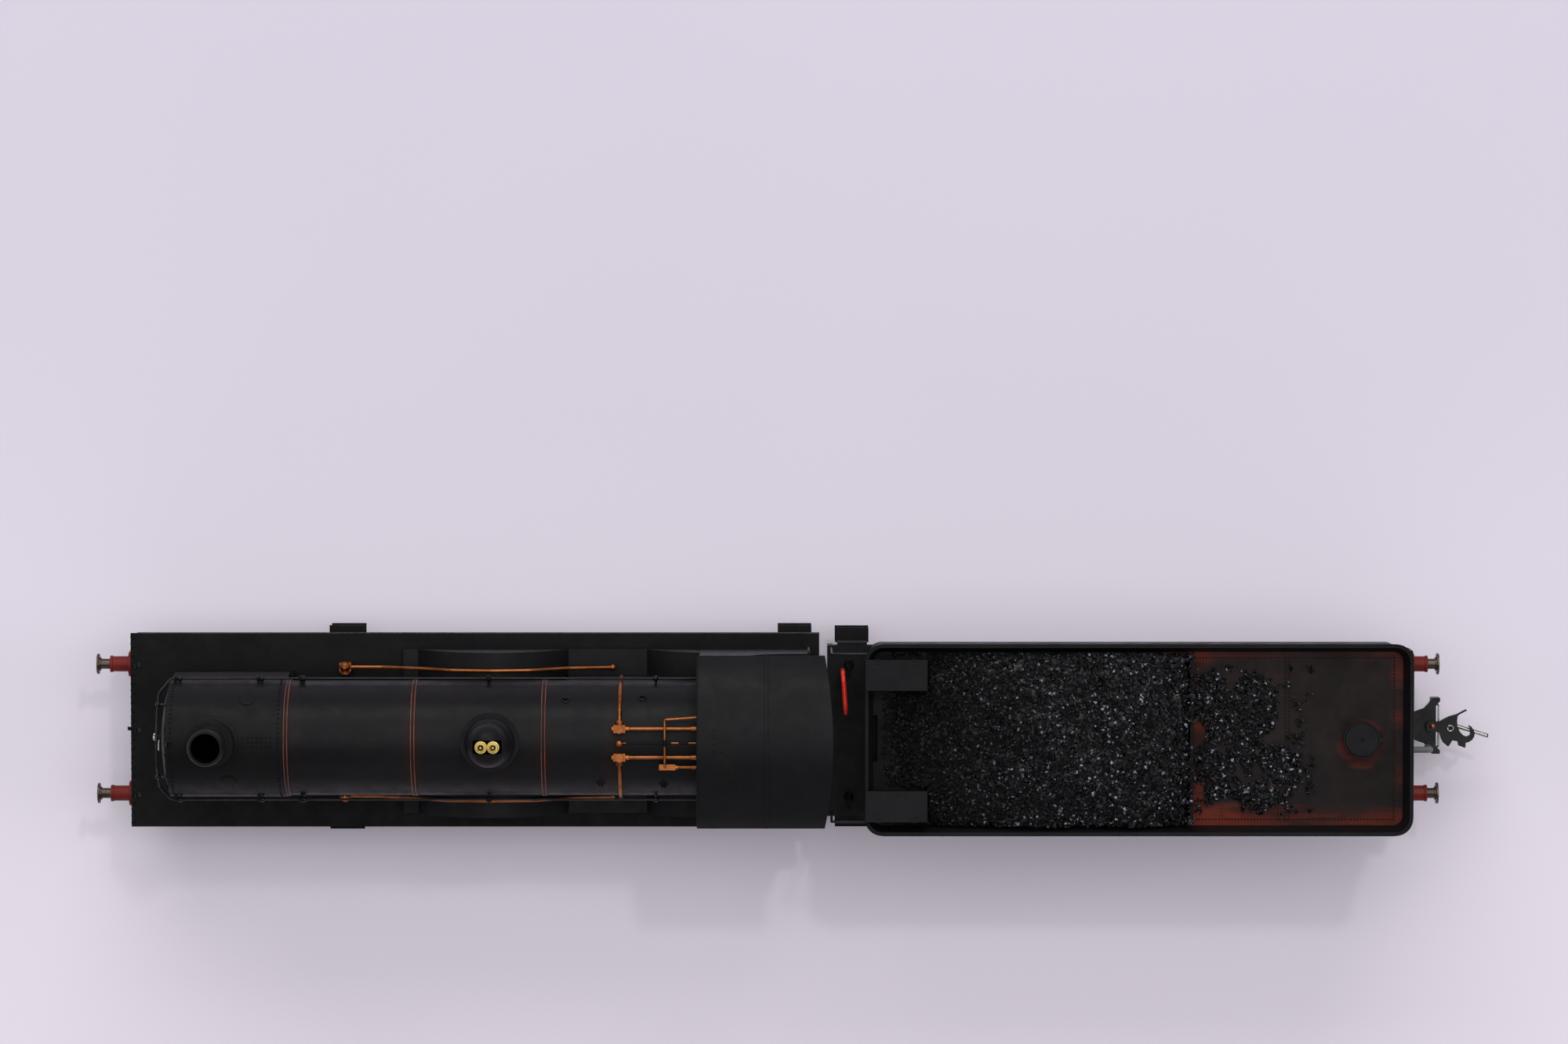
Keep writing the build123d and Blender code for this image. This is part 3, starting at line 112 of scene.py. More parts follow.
# -------- finishes
class Finish:
    """A material whose colour, roughness and bump come from nodes laid out in frame coordinates."""

    def __init__(self, name, **constants):
        self.material = bpy.data.materials.new(name)
        self.material.use_nodes = True
        self.tree = self.material.node_tree
        self.tree.nodes.clear()
        self.shader = self.node("ShaderNodeBsdfPrincipled")
        output = self.node("ShaderNodeOutputMaterial")
        self.join(self.shader.outputs[0], output.inputs["Surface"])
        self.place = self.node("ShaderNodeTexCoord").outputs["Object"]
        for key, value in constants.items():
            self.shader.inputs[key.replace("_", " ")].default_value = value

    def node(self, kind, **settings):
        made = self.tree.nodes.new(kind)
        for key, value in settings.items():
            setattr(made, key, value)
        return made

    def join(self, source, target):
        self.tree.links.new(source, target)

    def put(self, target, value):
        if isinstance(value, bpy.types.NodeSocket):
            self.join(value, target)
        elif isinstance(value, tuple) and len(value) == 3 and target.type == "RGBA":
            target.default_value = (*value, 1)
        else:
            target.default_value = value

    def math(self, operation, a, b=0.0):
        made = self.node("ShaderNodeMath", operation=operation)
        self.put(made.inputs[0], a)
        self.put(made.inputs[1], b)
        return made.outputs[0]

    def stretched(self, scale):
        made = self.node("ShaderNodeMapping")
        made.inputs["Scale"].default_value = scale
        self.join(self.place, made.inputs["Vector"])
        return made.outputs[0]

    def noise(self, scale, detail=4.0, rough=0.55, where=None, warp=0.0):
        made = self.node("ShaderNodeTexNoise")
        made.inputs["Scale"].default_value = scale
        made.inputs["Detail"].default_value = detail
        made.inputs["Roughness"].default_value = rough
        made.inputs["Distortion"].default_value = warp
        self.join(where or self.place, made.inputs["Vector"])
        return made.outputs["Fac"]

    def cells(self, scale):
        """Three random numbers for each cell of a Voronoi pattern."""
        made = self.node("ShaderNodeTexVoronoi")
        made.inputs["Scale"].default_value = scale
        self.join(self.place, made.inputs["Vector"])
        split = self.node("ShaderNodeSeparateColor")
        self.join(made.outputs["Color"], split.inputs[0])
        return split.outputs

    def spread(self, source, low, high, out_low=0.0, out_high=1.0, smooth=True):
        made = self.node("ShaderNodeMapRange")
        if smooth:
            made.interpolation_type = "SMOOTHSTEP"
        self.join(source, made.inputs["Value"])
        for key, value in (("From Min", low), ("From Max", high),
                           ("To Min", out_low), ("To Max", out_high)):
            made.inputs[key].default_value = value
        return made.outputs["Result"]

    def blend(self, factor, a, b):
        made = self.node("ShaderNodeMix", data_type="RGBA")
        self.put(made.inputs[0], factor)
        self.put(made.inputs[6], a)
        self.put(made.inputs[7], b)
        return made.outputs[2]

    def along(self, axis):
        made = self.node("ShaderNodeSeparateXYZ")
        self.join(self.place, made.inputs[0])
        return made.outputs["XYZ".index(axis)]

    def zone(self, place, low, high, out_low=0.0, out_high=1.0):
        """Goes from one value to the other between two places, in millimetres."""
        return self.spread(place, low * MM, high * MM, out_low, out_high)

    def apart(self, axis, place):
        return self.math("SUBTRACT", self.along(axis), place * MM)

    def radius_from(self, centre):
        """The distance from a cross axle through a centre."""
        dx, dz = self.apart("X", centre.x), self.apart("Z", centre.z)
        square = self.math("ADD", self.math("MULTIPLY", dx, dx), self.math("MULTIPLY", dz, dz))
        return self.math("SQRT", square)

    def bump(self, height, strength, depth, edge=0.0):
        """A bump of a depth, over edges rounded by a radius, both in millimetres."""
        made = self.node("ShaderNodeBump")
        made.inputs["Strength"].default_value = strength
        made.inputs["Distance"].default_value = depth * MM
        self.join(height, made.inputs["Height"])
        if edge:
            bevel = self.node("ShaderNodeBevel", samples=4)
            bevel.inputs["Radius"].default_value = edge * MM
            self.join(bevel.outputs[0], made.inputs["Normal"])
        self.join(made.outputs[0], self.shader.inputs["Normal"])

    def wander(self, texture, low, high):
        """Follows a noise from a low to a high roughness."""
        return self.spread(texture, 0.3, 0.7, low, high)

    def done(self, colour, roughness):
        self.put(self.shader.inputs["Base Color"], colour)
        self.put(self.shader.inputs["Roughness"], roughness)
        return self.material


def painted(f, colour, lighter, grime, grime_share):
    """Sprayed paint under airbrushed grime: its tone, and the faint clouds in it."""
    cloud = f.spread(f.noise(55, 5, 0.6), 0.35, 0.68)
    stain = f.spread(f.noise(130, 6, 0.65, warp=0.6), 0.50, 0.78, 0, grime_share)
    return f.blend(stain, f.blend(cloud, colour, lighter), grime), cloud


def satin_paint(name, colour, lighter, grime, grime_share=0.5, rough=(0.38, 0.52), sooty=()):
    """Satin paint with fine pale specks, and brown dust beside each x in sooty."""
    f = Finish(name, Specular_IOR_Level=0.12)
    tone, cloud = painted(f, colour, lighter, grime, grime_share)
    for x in sooty:
        near = f.zone(f.math("ABSOLUTE", f.apart("X", x)), 3.2, 0.3, 0.0, 0.9)
        tone = f.blend(f.math("MULTIPLY", near, cloud), tone, BROWN_DUST)
    speck = f.spread(f.noise(2600, 2, 0.5), 0.70, 0.78, 0, 0.35)
    tone = f.blend(speck, tone, tuple(min(1.0, 3.2 * c + 0.01) for c in lighter))
    f.bump(f.noise(3200, 3, 0.55), 0.12, 0.03, 0.12)
    return f.done(tone, f.wander(f.noise(420, 4, 0.6), *rough))


def tarnished(f, colour, tarnish, share):
    """Bare metal with a fine grain and patches of tarnish."""
    f.bump(f.noise(2400, 4, 0.6), 0.25, 0.03, 0.06)
    patch = f.spread(f.noise(260, 6, 0.65, warp=0.4), 0.42, 0.72, 0, share)
    return f.blend(patch, colour, tarnish)


def worn_metal(name, colour, tarnish, rough=(0.22, 0.42), share=0.7):
    f = Finish(name, Metallic=1.0)
    return f.done(tarnished(f, colour, tarnish, share), f.wander(f.noise(600, 4), *rough))


def moulded(name, colour, rough=(0.34, 0.5)):
    """Moulded plastic, slightly clouded."""
    f = Finish(name, Specular_IOR_Level=0.2)
    lighter = tuple(min(1.0, 1.6 * c + 0.003) for c in colour)
    tone = f.blend(f.spread(f.noise(140, 5), 0.35, 0.7), colour, lighter)
    f.bump(f.noise(2800, 3), 0.16, 0.03, 0.1)
    return f.done(tone, f.wander(f.noise(500, 3), *rough))


BLACK = (0.0054, 0.0052, 0.0061)
BLACK_LIGHT = (0.0080, 0.0077, 0.0090)
GRIME = (0.0135, 0.0094, 0.0070)
BROWN_DUST = (0.0165, 0.0088, 0.0068)
RUST = (0.122, 0.0165, 0.0058)
RUST_DARK = (0.0190, 0.0060, 0.0044)
TANK_GREY = (0.0086, 0.0058, 0.0058)
TANK_GREY_LIGHT = (0.0165, 0.0100, 0.0090)
GRIME_DARK = (0.0022, 0.0020, 0.0020)
SHADOW = (0.0005, 0.0005, 0.0005)
COPPER = (0.36, 0.122, 0.038)
COPPER_DARK = (0.13, 0.038, 0.014)

body_black = satin_paint("satin_black", BLACK, BLACK_LIGHT, GRIME)
boiler_black = satin_paint(
    "boiler_black", BLACK, BLACK_LIGHT, GRIME, 0.6, (0.36, 0.50), (-86.6, -65.5, -43.2, -31.0)
)
smoke_black = satin_paint(
    "smokebox_black", (0.0046, 0.0043, 0.0048), (0.0070, 0.0065, 0.0070), (0.0125, 0.0096, 0.0076),
    0.6, (0.42, 0.58),
)
# the body's black paint made darker, as painted shade, for the running plate and the other parts
# given this finish
shaded_plate_black = satin_paint(
    "running_plate_black", (0.0034, 0.0032, 0.0035), (0.0052, 0.0049, 0.0052),
    (0.0085, 0.0068, 0.0054), 0.7, (0.46, 0.62),
)
brass = worn_metal("turned_brass", (0.62, 0.46, 0.15), (0.36, 0.22, 0.06), (0.22, 0.34), 0.5)
copper = worn_metal("copper_pipe", COPPER, COPPER_DARK, (0.34, 0.48), 0.8)
steel = worn_metal("turned_steel", (0.090, 0.072, 0.058), (0.036, 0.027, 0.021), (0.28, 0.44))
bright_steel = worn_metal("bright_pin", (0.46, 0.45, 0.44), (0.28, 0.265, 0.25), (0.18, 0.32), 0.5)
handrail_black = worn_metal(
    "blackened_wire", (0.030, 0.030, 0.034), (0.013, 0.012, 0.012), (0.36, 0.5)
)
rod_steel = worn_metal("rod_steel", (0.42, 0.41, 0.40), (0.22, 0.205, 0.19), (0.22, 0.36), 0.6)
spring_steel = worn_metal("spring_steel", (0.50, 0.50, 0.50), (0.30, 0.28, 0.26))
can_steel = worn_metal("motor_can", (0.58, 0.58, 0.57), (0.40, 0.39, 0.38), (0.26, 0.4), 0.5)
chassis_metal = worn_metal(
    "cast_chassis", (0.080, 0.080, 0.085), (0.045, 0.043, 0.042), (0.42, 0.6)
)
grey_plastic = moulded("grey_moulding", (0.105, 0.105, 0.112))
black_plastic = moulded("black_moulding", (0.0050, 0.0050, 0.0056), (0.30, 0.46))
white_plastic = moulded("gear_moulding", (0.62, 0.60, 0.55), (0.36, 0.5))
rivet_brown = satin_paint(
    "rivet_brown", (0.0120, 0.0046, 0.0038), (0.0200, 0.0066, 0.0048), GRIME_DARK
)


def red_buffers():
    """Red paint, worn darker."""
    f = Finish("buffer_red", Specular_IOR_Level=0.14)
    worn = f.spread(f.noise(700, 5, 0.65), 0.46, 0.66, 0, 0.55)
    faded = f.spread(f.noise(220, 4), 0.35, 0.7)
    tone = f.blend(faded, (0.150, 0.011, 0.009), (0.210, 0.020, 0.015))
    tone = f.blend(worn, tone, (0.085, 0.018, 0.014))
    f.bump(f.noise(2200, 4), 0.25, 0.04, 0.12)
    return f.done(tone, f.wander(f.noise(500, 3), 0.30, 0.46))


def red_insulation():
    f = Finish("red_insulation", Specular_IOR_Level=0.5, Coat_Weight=0.3, Coat_Roughness=0.12)
    tone = f.blend(f.spread(f.noise(320, 4), 0.35, 0.7), (0.78, 0.028, 0.020), (0.90, 0.052, 0.036))
    f.bump(f.noise(1600, 3), 0.1, 0.03)
    return f.done(tone, f.wander(f.noise(500, 3), 0.2, 0.32))


def fittings_copper():
    """Copper pipes over the firebox; the middle one is painted but for two worn spots."""
    f = Finish("fittings_copper", Metallic=1.0)
    tone = tarnished(f, COPPER, COPPER_DARK, 0.8)
    middle = f.math("LESS_THAN", f.math("ABSOLUTE", f.along("Y")), 0.6 * MM)
    behind = f.math("GREATER_THAN", f.along("X"), -29.0 * MM)
    paint = f.math("MULTIPLY", middle, behind)
    for worn_x in (-20.6, -17.6):
        away = f.math("ABSOLUTE", f.apart("X", worn_x))
        paint = f.math("MULTIPLY", paint, f.zone(away, 0.5, 0.7))
    tone = f.blend(paint, tone, (0.016, 0.014, 0.015))
    return f.done(tone, f.wander(f.noise(600, 4), 0.34, 0.48))


def lining_red():
    """Faded red for the lines along the boiler bands."""
    f = Finish("lining_red", Specular_IOR_Level=0.4)
    faded = f.spread(f.noise(240, 5, 0.65), 0.38, 0.68)
    tone = f.blend(faded, (0.215, 0.050, 0.030), (0.085, 0.026, 0.018))
    f.bump(f.noise(3000, 3), 0.1, 0.02)
    return f.done(tone, f.wander(f.noise(700, 3), 0.42, 0.55))


def coal_black():
    """Black grains with pale flecks on a few as painted glints, a rare brown one between them;
    rougher and painted darker as shade towards the footplate.
    """
    f = Finish("coal_grains", Specular_IOR_Level=0.22)
    lump, grain = f.cells(1350), f.cells(2500)
    tone = f.blend(f.spread(lump[0], 0.50, 1.0), (0.0014, 0.0014, 0.0017),
                   (0.0085, 0.0083, 0.0100))
    tone = f.blend(f.spread(grain[0], 0.82, 0.90), tone, (0.030, 0.030, 0.036))
    # pale flecks on a few grains: painted glints
    tone = f.blend(f.spread(grain[1], 0.962, 0.980), tone, (0.270, 0.270, 0.330))
    tone = f.blend(f.spread(lump[1], 0.995, 0.998), tone, (0.085, 0.050, 0.030))
    # painted shade: the grains are darkened towards the footplate, where the heap sinks between the
    # toolboxes
    tone = f.blend(f.zone(f.along("X"), 15, 50), (0.0010, 0.0009, 0.0011), tone)
    f.bump(f.noise(4200, 4, 0.6), 0.35, 0.04)
    dull = f.zone(f.along("X"), 14, 46, 0.24, 0.0)
    shine = f.spread(lump[2], 0.0, 0.6, 0.10, 0.74, smooth=False)
    return f.done(tone, f.math("ADD", shine, dull))


def opening_shade_black():
    """Dead black, as painted shade for the insides of openings."""
    f = Finish("opening_shade", Specular_IOR_Level=0.02)
    tone = f.blend(f.spread(f.noise(400, 4), 0.3, 0.7), (0.0007, 0.0007, 0.0007),
                   (0.0016, 0.0014, 0.0013))
    return f.done(tone, f.wander(f.noise(300, 3), 0.85, 0.98))


# the lid of the tender's tank, and the centre of the round filler cap on it
LID = 34.4
CAP_X = limits("filler_cap")[0].x + 3.2


def tank_finish():
    """Satin black sides. Behind the coal the lid is rusty red at its edges, dark grey between."""
    high = limits("tender_tank")[1]
    bulkhead = limits("coal_load")[1].x
    f = Finish("tender_tank_paint", Specular_IOR_Level=0.12)
    streak = f.noise(95, 7, 0.68, f.stretched((0.32, 1.7, 1.0)), 0.5)
    blot = f.noise(60, 5, 0.6, warp=0.8)
    from_cap = f.node("ShaderNodeVectorMath", operation="DISTANCE")
    f.join(f.place, from_cap.inputs[0])
    from_cap.inputs[1].default_value = Vector((CAP_X + 0.3, -1.0, LID)) * MM
    edge = f.zone(from_cap.outputs["Value"], 5.8, 3.2, 0.0, 0.84)
    for axis, inner, outer, strength in (
        ("Y", 10.8, 15.5, 0.62), ("Y", -8.5, -13.8, 1.12),
        ("X", high.x - 5.0, high.x - 1.2, 0.60), ("X", bulkhead + 7.5, bulkhead + 1.0, 1.0),
    ):
        edge = f.math("MAXIMUM", edge, f.zone(f.along(axis), inner, outer, 0.0, strength))
    patchy = f.math("ADD", f.math("MULTIPLY", edge, 0.76), f.math("MULTIPLY", streak, 0.80))
    patchy = f.math("ADD", patchy, f.math("MULTIPLY", blot, 0.36))
    rust = f.blend(f.spread(streak, 0.40, 0.66), RUST_DARK, RUST)
    grey = f.blend(f.spread(blot, 0.35, 0.7), TANK_GREY, TANK_GREY_LIGHT)
    top = f.blend(f.spread(patchy, 0.86, 1.46), grey, rust)
    # dark under the coal, a painted shadow by the footplate, and dark on what stands above the lid
    top = f.blend(f.zone(f.along("X"), bulkhead - 6, bulkhead - 2), GRIME_DARK, top)
    top = f.blend(f.zone(f.along("X"), 15, 17), SHADOW, top)
    top = f.blend(f.zone(f.along("Z"), LID + 0.6, LID + 1.0), top, GRIME_DARK)
    # the lid's tone stops 0.2 mm inside the tank's outer faces
    on_lid = f.zone(f.along("Z"), LID - 0.3, LID - 0.1)
    for place, face in ((f.math("ABSOLUTE", f.along("Y")), high.y), (f.along("X"), high.x)):
        on_lid = f.math("MULTIPLY", on_lid, f.math("LESS_THAN", place, (face - 0.2) * MM))
    sides = painted(f, BLACK, BLACK_LIGHT, GRIME, 0.3)[0]
    f.bump(f.noise(2600, 4, 0.6), 0.16, 0.04, 0.12)
    return f.done(f.blend(on_lid, sides, top), f.wander(f.noise(420, 4), 0.44, 0.60))


def wheel_finish(name, centre, tread):
    """Black cast centre inside a bright turned tyre of a tread radius, on a cross axle."""
    f = Finish(name)
    radius = f.radius_from(centre)
    metal = f.math("MAXIMUM", f.zone(radius, tread - 0.95, tread - 0.85),
                   f.zone(radius, 1.15, 1.05))
    wear = f.spread(f.noise(320, 5, 0.6), 0.35, 0.7)
    bright = f.blend(wear, (0.40, 0.39, 0.375), (0.27, 0.255, 0.24))
    dirt = f.spread(f.noise(150, 5, 0.65), 0.45, 0.75)
    dark = f.blend(dirt, (0.0115, 0.0115, 0.0125), (0.026, 0.020, 0.016))
    f.join(metal, f.shader.inputs["Metallic"])
    f.bump(f.noise(2600, 3), 0.14, 0.03, 0.1)
    return f.done(f.blend(metal, dark, bright), f.spread(metal, 0, 1, 0.46, 0.27))


coal = coal_black()
pipe_fittings = fittings_copper()
opening_shade = opening_shade_black()
lining = lining_red()
wire_red = red_insulation()
buffer_red = red_buffers()


# -------- mesh helpers
def around(count):
    """Evenly spaced angles round a circle."""
    return [2 * math.pi * k / count for k in range(count)]


class Shape:
    """Collects small forms, in millimetres and frame coordinates, into one mesh."""

    def __init__(self):
        self.points, self.faces, self.smooth = [], [], []

    def add(self, points, faces, smooth=True):
        start = len(self.points)
        self.points.extend(tuple(p) for p in points)
        self.faces.extend(tuple(start + i for i in face) for face in faces)
        self.smooth.extend([smooth] * len(faces))

    def lathe(self, profile, at, axis, sides, smooth=True):
        """Turns (radius, height) pairs about an axis through a point."""
        axis = Vector(axis).normalized()
        u = axis.orthogonal().normalized()
        v = axis.cross(u)
        at = Vector(at)
        points, rings = [], []
        for r, h in profile:
            if r < 1e-6:
                rings.append([len(points)])
                points.append(at + axis * h)
            else:
                rings.append(range(len(points), len(points) + sides))
                for a in around(sides):
                    points.append(at + axis * h + u * (r * math.cos(a)) + v * (r * math.sin(a)))
        faces = []
        for a, b in zip(rings, rings[1:]):
            for k in range(sides):
                n = (k + 1) % sides
                if len(a) == 1 and len(b) > 1:
                    faces.append((a[0], b[n], b[k]))
                elif len(b) == 1 and len(a) > 1:
                    faces.append((a[k], a[n], b[0]))
                elif len(a) > 1:
                    faces.append((a[k], a[n], b[n], b[k]))
        self.add(points, faces, smooth)

    def rivet(self, at, normal, r):
        """A domed head on a surface."""
        self.lathe([(r, -0.05), (r, 0.02), (0.72 * r, 0.6 * r), (0, 0.78 * r)], at, normal, 8)

    def tube(self, path, r, sides=12, closed=False):
        """A round bar along smooth points, with domed ends."""
        path = [Vector(p) for p in path]
        count = len(path)
        normal = None
        points, rings = [], []
        for i, p in enumerate(path):
            before = path[i - 1] if i or closed else p
            after = path[(i + 1) % count] if i < count - 1 or closed else p
            along = (after - before).normalized()
            if normal is None:
                normal = along.orthogonal().normalized()
            normal = (normal - along * normal.dot(along)).normalized()
            other = along.cross(normal)
            rings.append(range(len(points), len(points) + sides))
            for a in around(sides):
                points.append(p + (normal * math.cos(a) + other * math.sin(a)) * r)
        faces = []
        pairs = list(zip(rings, rings[1:]))
        if closed:
            pairs.append((rings[-1], rings[0]))
        for a, b in pairs:
            for k in range(sides):
                n = (k + 1) % sides
                faces.append((a[k], a[n], b[n], b[k]))
        if not closed:
            for ring, end, step in ((rings[0], path[0], path[0] - path[1]),
                                    (rings[-1], path[-1], path[-1] - path[-2])):
                tip = len(points)
                points.append(end + step.normalized() * r * 0.5)
                for k in range(sides):
                    n = (k + 1) % sides
                    face = (ring[k], ring[n], tip)
                    faces.append(face if ring is rings[-1] else face[::-1])
        self.add(points, faces)

    def block(self, low, high, ease):
        """A box between two corners, its upper and lower edges eased."""
        points = []
        for inset, z in ((ease, low[2]), (0, low[2] + ease), (0, high[2] - ease), (ease, high[2])):
            x0, y0, x1, y1 = low[0] + inset, low[1] + inset, high[0] - inset, high[1] - inset
            points.extend(((x0, y0, z), (x1, y0, z), (x1, y1, z), (x0, y1, z)))
        faces = [(3, 2, 1, 0), (12, 13, 14, 15)]
        for level in (0, 4, 8):
            for i in range(4):
                n = (i + 1) % 4
                faces.append((level + i, level + n, level + 4 + n, level + 4 + i))
        self.add(points, faces, False)

    def make(self, name, finish, body):
        """The collected mesh as a piece that rides a body."""
        mesh = bpy.data.meshes.new(name)
        mesh.from_pydata([tuple(c * MM for c in p) for p in self.points], [], self.faces)
        mesh.polygons.foreach_set("use_smooth", self.smooth)
        mesh.validate()
        shell = bpy.data.objects.new(name, mesh)
        scene.collection.objects.link(shell)
        fix_normals(mesh)
        mesh.materials.append(finish)
        mesh.set_sharp_from_angle(angle=math.radians(38))
        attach(shell, body)
        return shell


def fix_normals(mesh):
    """Turns every face of the closed parts outwards."""
    work = bmesh.new()
    work.from_mesh(mesh)
    bmesh.ops.recalc_face_normals(work, faces=work.faces)
    work.to_mesh(mesh)
    work.free()


def curve_through(points, steps=8):
    """Points of a smooth curve through the given ones."""
    points = [Vector(p) for p in points]
    padded = [2 * points[0] - points[1], *points, 2 * points[-1] - points[-2]]
    line = []
    for i in range(1, len(padded) - 2):
        a, b, c, d = padded[i - 1:i + 3]
        for k in range(steps):
            t = k / steps
            line.append(0.5 * ((2 * b) + (c - a) * t + (2 * a - 5 * b + 4 * c - d) * t * t
                               + (3 * b - a - 3 * c + d) * t ** 3))
    line.append(points[-1])
    return line


def spaced(a, b, step):
    """Evenly spaced numbers from a to b, about step apart."""
    count = max(1, round(abs(b - a) / step))
    return [a + (b - a) * i / count for i in range(count + 1)]


# -------- CAD nodes: shading and finish
def smoothing_group():
    """Geometry nodes that weld split points and smooth the edges flatter than 32 degrees."""
    group = bpy.data.node_groups.new("soft_shading", "GeometryNodeTree")
    group.interface.new_socket("Geometry", in_out="INPUT", socket_type="NodeSocketGeometry")
    group.interface.new_socket("Geometry", in_out="OUTPUT", socket_type="NodeSocketGeometry")
    start = group.nodes.new("NodeGroupInput")
    end = group.nodes.new("NodeGroupOutput")
    weld = group.nodes.new("GeometryNodeMergeByDistance")
    weld.inputs["Distance"].default_value = 0.0005 * MM
    faces = group.nodes.new("GeometryNodeSetShadeSmooth")
    faces.domain = "FACE"
    faces.inputs["Shade Smooth"].default_value = True
    edges = group.nodes.new("GeometryNodeSetShadeSmooth")
    edges.domain = "EDGE"
    angle = group.nodes.new("GeometryNodeInputMeshEdgeAngle")
    flat = group.nodes.new("FunctionNodeCompare")
    flat.data_type = "FLOAT"
    flat.operation = "LESS_THAN"
    flat.inputs["B"].default_value = math.radians(32)
    link = group.links.new
    link(start.outputs[0], weld.inputs["Geometry"])
    link(weld.outputs["Geometry"], faces.inputs["Geometry"])
    link(faces.outputs["Geometry"], edges.inputs["Geometry"])
    link(angle.outputs["Unsigned Angle"], flat.inputs["A"])
    link(flat.outputs["Result"], edges.inputs["Shade Smooth"])
    link(edges.outputs["Geometry"], end.inputs[0])
    return group


soft_shading = smoothing_group()

BUFFERS = [(end, hand) for end in ("front", "rear") for hand in ("left", "right")]
FINISHES = {
    body_black: ["dome", "cab", "cab_roof", "splashers", "tender_chassis", "toolboxes",
                 "tank_flare", "filler_cap"],
    boiler_black: ["boiler", "boiler_bands"],
    smoke_black: ["smokebox", "smokebox_door", "chimney"],
    shaded_plate_black: ["footplate", "footsteps", "tender_steps", "drawbar", "backhead", "bogie_frame",
                  "tender_bogie_front", "tender_bogie_rear", "brake_gear"],
    brass: ["safety_valves"],
    copper: ["feed_pipes"],
    pipe_fittings: ["steam_fittings"],
    handrail_black: ["handrails", "front_coupling_hook"],
    buffer_red: ["front_buffer_housings", "rear_buffer_housings"],
    steel: ["bogie_screws", "chassis_screws", *(f"{end}_buffer_{hand}" for end, hand in BUFFERS)],
    spring_steel: [f"{end}_spring_{hand}" for end, hand in BUFFERS],
    rod_steel: ["coupling_rod_left", "coupling_rod_right", "worm_shaft"],
    chassis_metal: ["chassis_block"],
    black_plastic: ["coupling_body", "coupling_hook", "keeper_plate"],
    grey_plastic: ["vacuum_pipe"],
    can_steel: ["motor"],
    white_plastic: ["axle_gear"],
    wire_red: ["pickup_wire"],
    coal: ["coal_load"],
    tank_finish(): ["tender_tank"],
}
finish_of = {node: finish for finish, members in FINISHES.items() for node in members}
FLANGE = 0.7  # how far a flange stands out beyond the tread
for node in nodes:
    if "_wheelset_" in node:
        low, high = limits(node)
        tread = (high.x - low.x) / 2 - FLANGE
        finish_of[node] = wheel_finish(f"{node}_finish", (low + high) / 2, tread)
for node, shell in nodes.items():
    mesh = shell.data
    mesh.materials.clear()
    mesh.materials.append(finish_of[node])
    # the CAD export's own normals would override the smoothing
    if "custom_normal" in mesh.attributes:
        mesh.attributes.remove(mesh.attributes["custom_normal"])
    shell.modifiers.new("soft_shading", "NODES").node_group = soft_shading

# each buffer spring gets a mesh of its own
for end, hand in BUFFERS:
    node = f"{end}_spring_{hand}"
    low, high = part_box(node)
    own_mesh(nodes[node])

# -------- boiler and smokebox details
BOILER_Z = 32.5
BOILER_R = 9.9
SMOKEBOX_R = 10.1
SMOKEBOX_FOOT_Z = 18.6
SMOKEBOX_NECK_Y = 9.72
SMOKEBOX_WAIST_Y, SMOKEBOX_WAIST_Z = 10.9, 26.2
PLATE_TOP = 17.7
smoke_low, smoke_high = limits("smokebox")
bands_low, bands_high = limits("boiler_bands")
plate_low, plate_high = limits("footplate")


def radial(angle):
    """The direction away from the boiler's axis, at an angle from upright."""
    return Vector((0, math.sin(angle), math.cos(angle)))


def smokebox_section(step):
    """Points and outward directions round the smokebox, from one foot over the top to the other."""
    line = []
    for k in range(7):
        t = k / 6
        swell = abs(2 * t - 0.86) ** 2 * (0.60 if t < 0.43 else 0.77)
        line.append((SMOKEBOX_NECK_Y + (SMOKEBOX_WAIST_Y - SMOKEBOX_NECK_Y) * swell,
                     SMOKEBOX_FOOT_Z + (SMOKEBOX_WAIST_Z - SMOKEBOX_FOOT_Z) * t))
    sides = line[::-1]
    for k in range(61):
        a = math.pi * k / 60
        line.append((SMOKEBOX_R * math.cos(a), BOILER_Z + SMOKEBOX_R * math.sin(a)))
    line.extend((-y, z) for y, z in sides)
    spots, need = [], 0.0
    for (y0, z0), (y1, z1) in zip(line, line[1:]):
        span = math.hypot(y1 - y0, z1 - z0)
        while need < span:
            t = need / span
            spots.append(((y0 + (y1 - y0) * t, z0 + (z1 - z0) * t), (z1 - z0, y0 - y1)))
            need += step
        need -= span
    return spots


smoke_rivets = Shape()
for x in (smoke_low.x + 0.8, smoke_high.x - 0.8):
    for (y, z), (ny, nz) in smokebox_section(0.86):
        if z > BOILER_Z - 1:
            smoke_rivets.rivet((x, y, z), (0, ny, nz), 0.22)
for x in spaced(-94.4, -89.7, 0.78):
    for y in (-0.75, 0.05, 0.85):
        rise = math.sqrt(SMOKEBOX_R ** 2 - y * y)
        smoke_rivets.rivet((x, y, BOILER_Z + rise), (0, y, rise), 0.22)
smoke_rivets.make("smokebox_rivets", smoke_black, "engine")

# two thin lines on each band: the spread of each in degrees from the top
LINE_HALF = 0.075
LINE_STEPS = 64
band_lines = Shape()
for x, spread in ((bands_low.x + 0.45, 118), (-65.5, 118), (bands_high.x - 0.45, 112)):
    for middle in (x - 0.30, x + 0.30):
        points = []
        for k in range(LINE_STEPS + 1):
            out = radial(math.radians(-spread + 2 * spread * k / LINE_STEPS)) * (BOILER_R + 0.11)
            for px in (middle - LINE_HALF, middle + LINE_HALF):
                points.append((px, out.y, BOILER_Z + out.z))
        faces = [(a, a + 1, a + 3, a + 2) for a in range(0, 2 * LINE_STEPS, 2)]
        band_lines.add(points, faces)
lines = band_lines.make("band_lining", lining, "engine")
thick = lines.modifiers.new("thickness", "SOLIDIFY")
thick.thickness = 0.04 * MM
thick.offset = 0.0

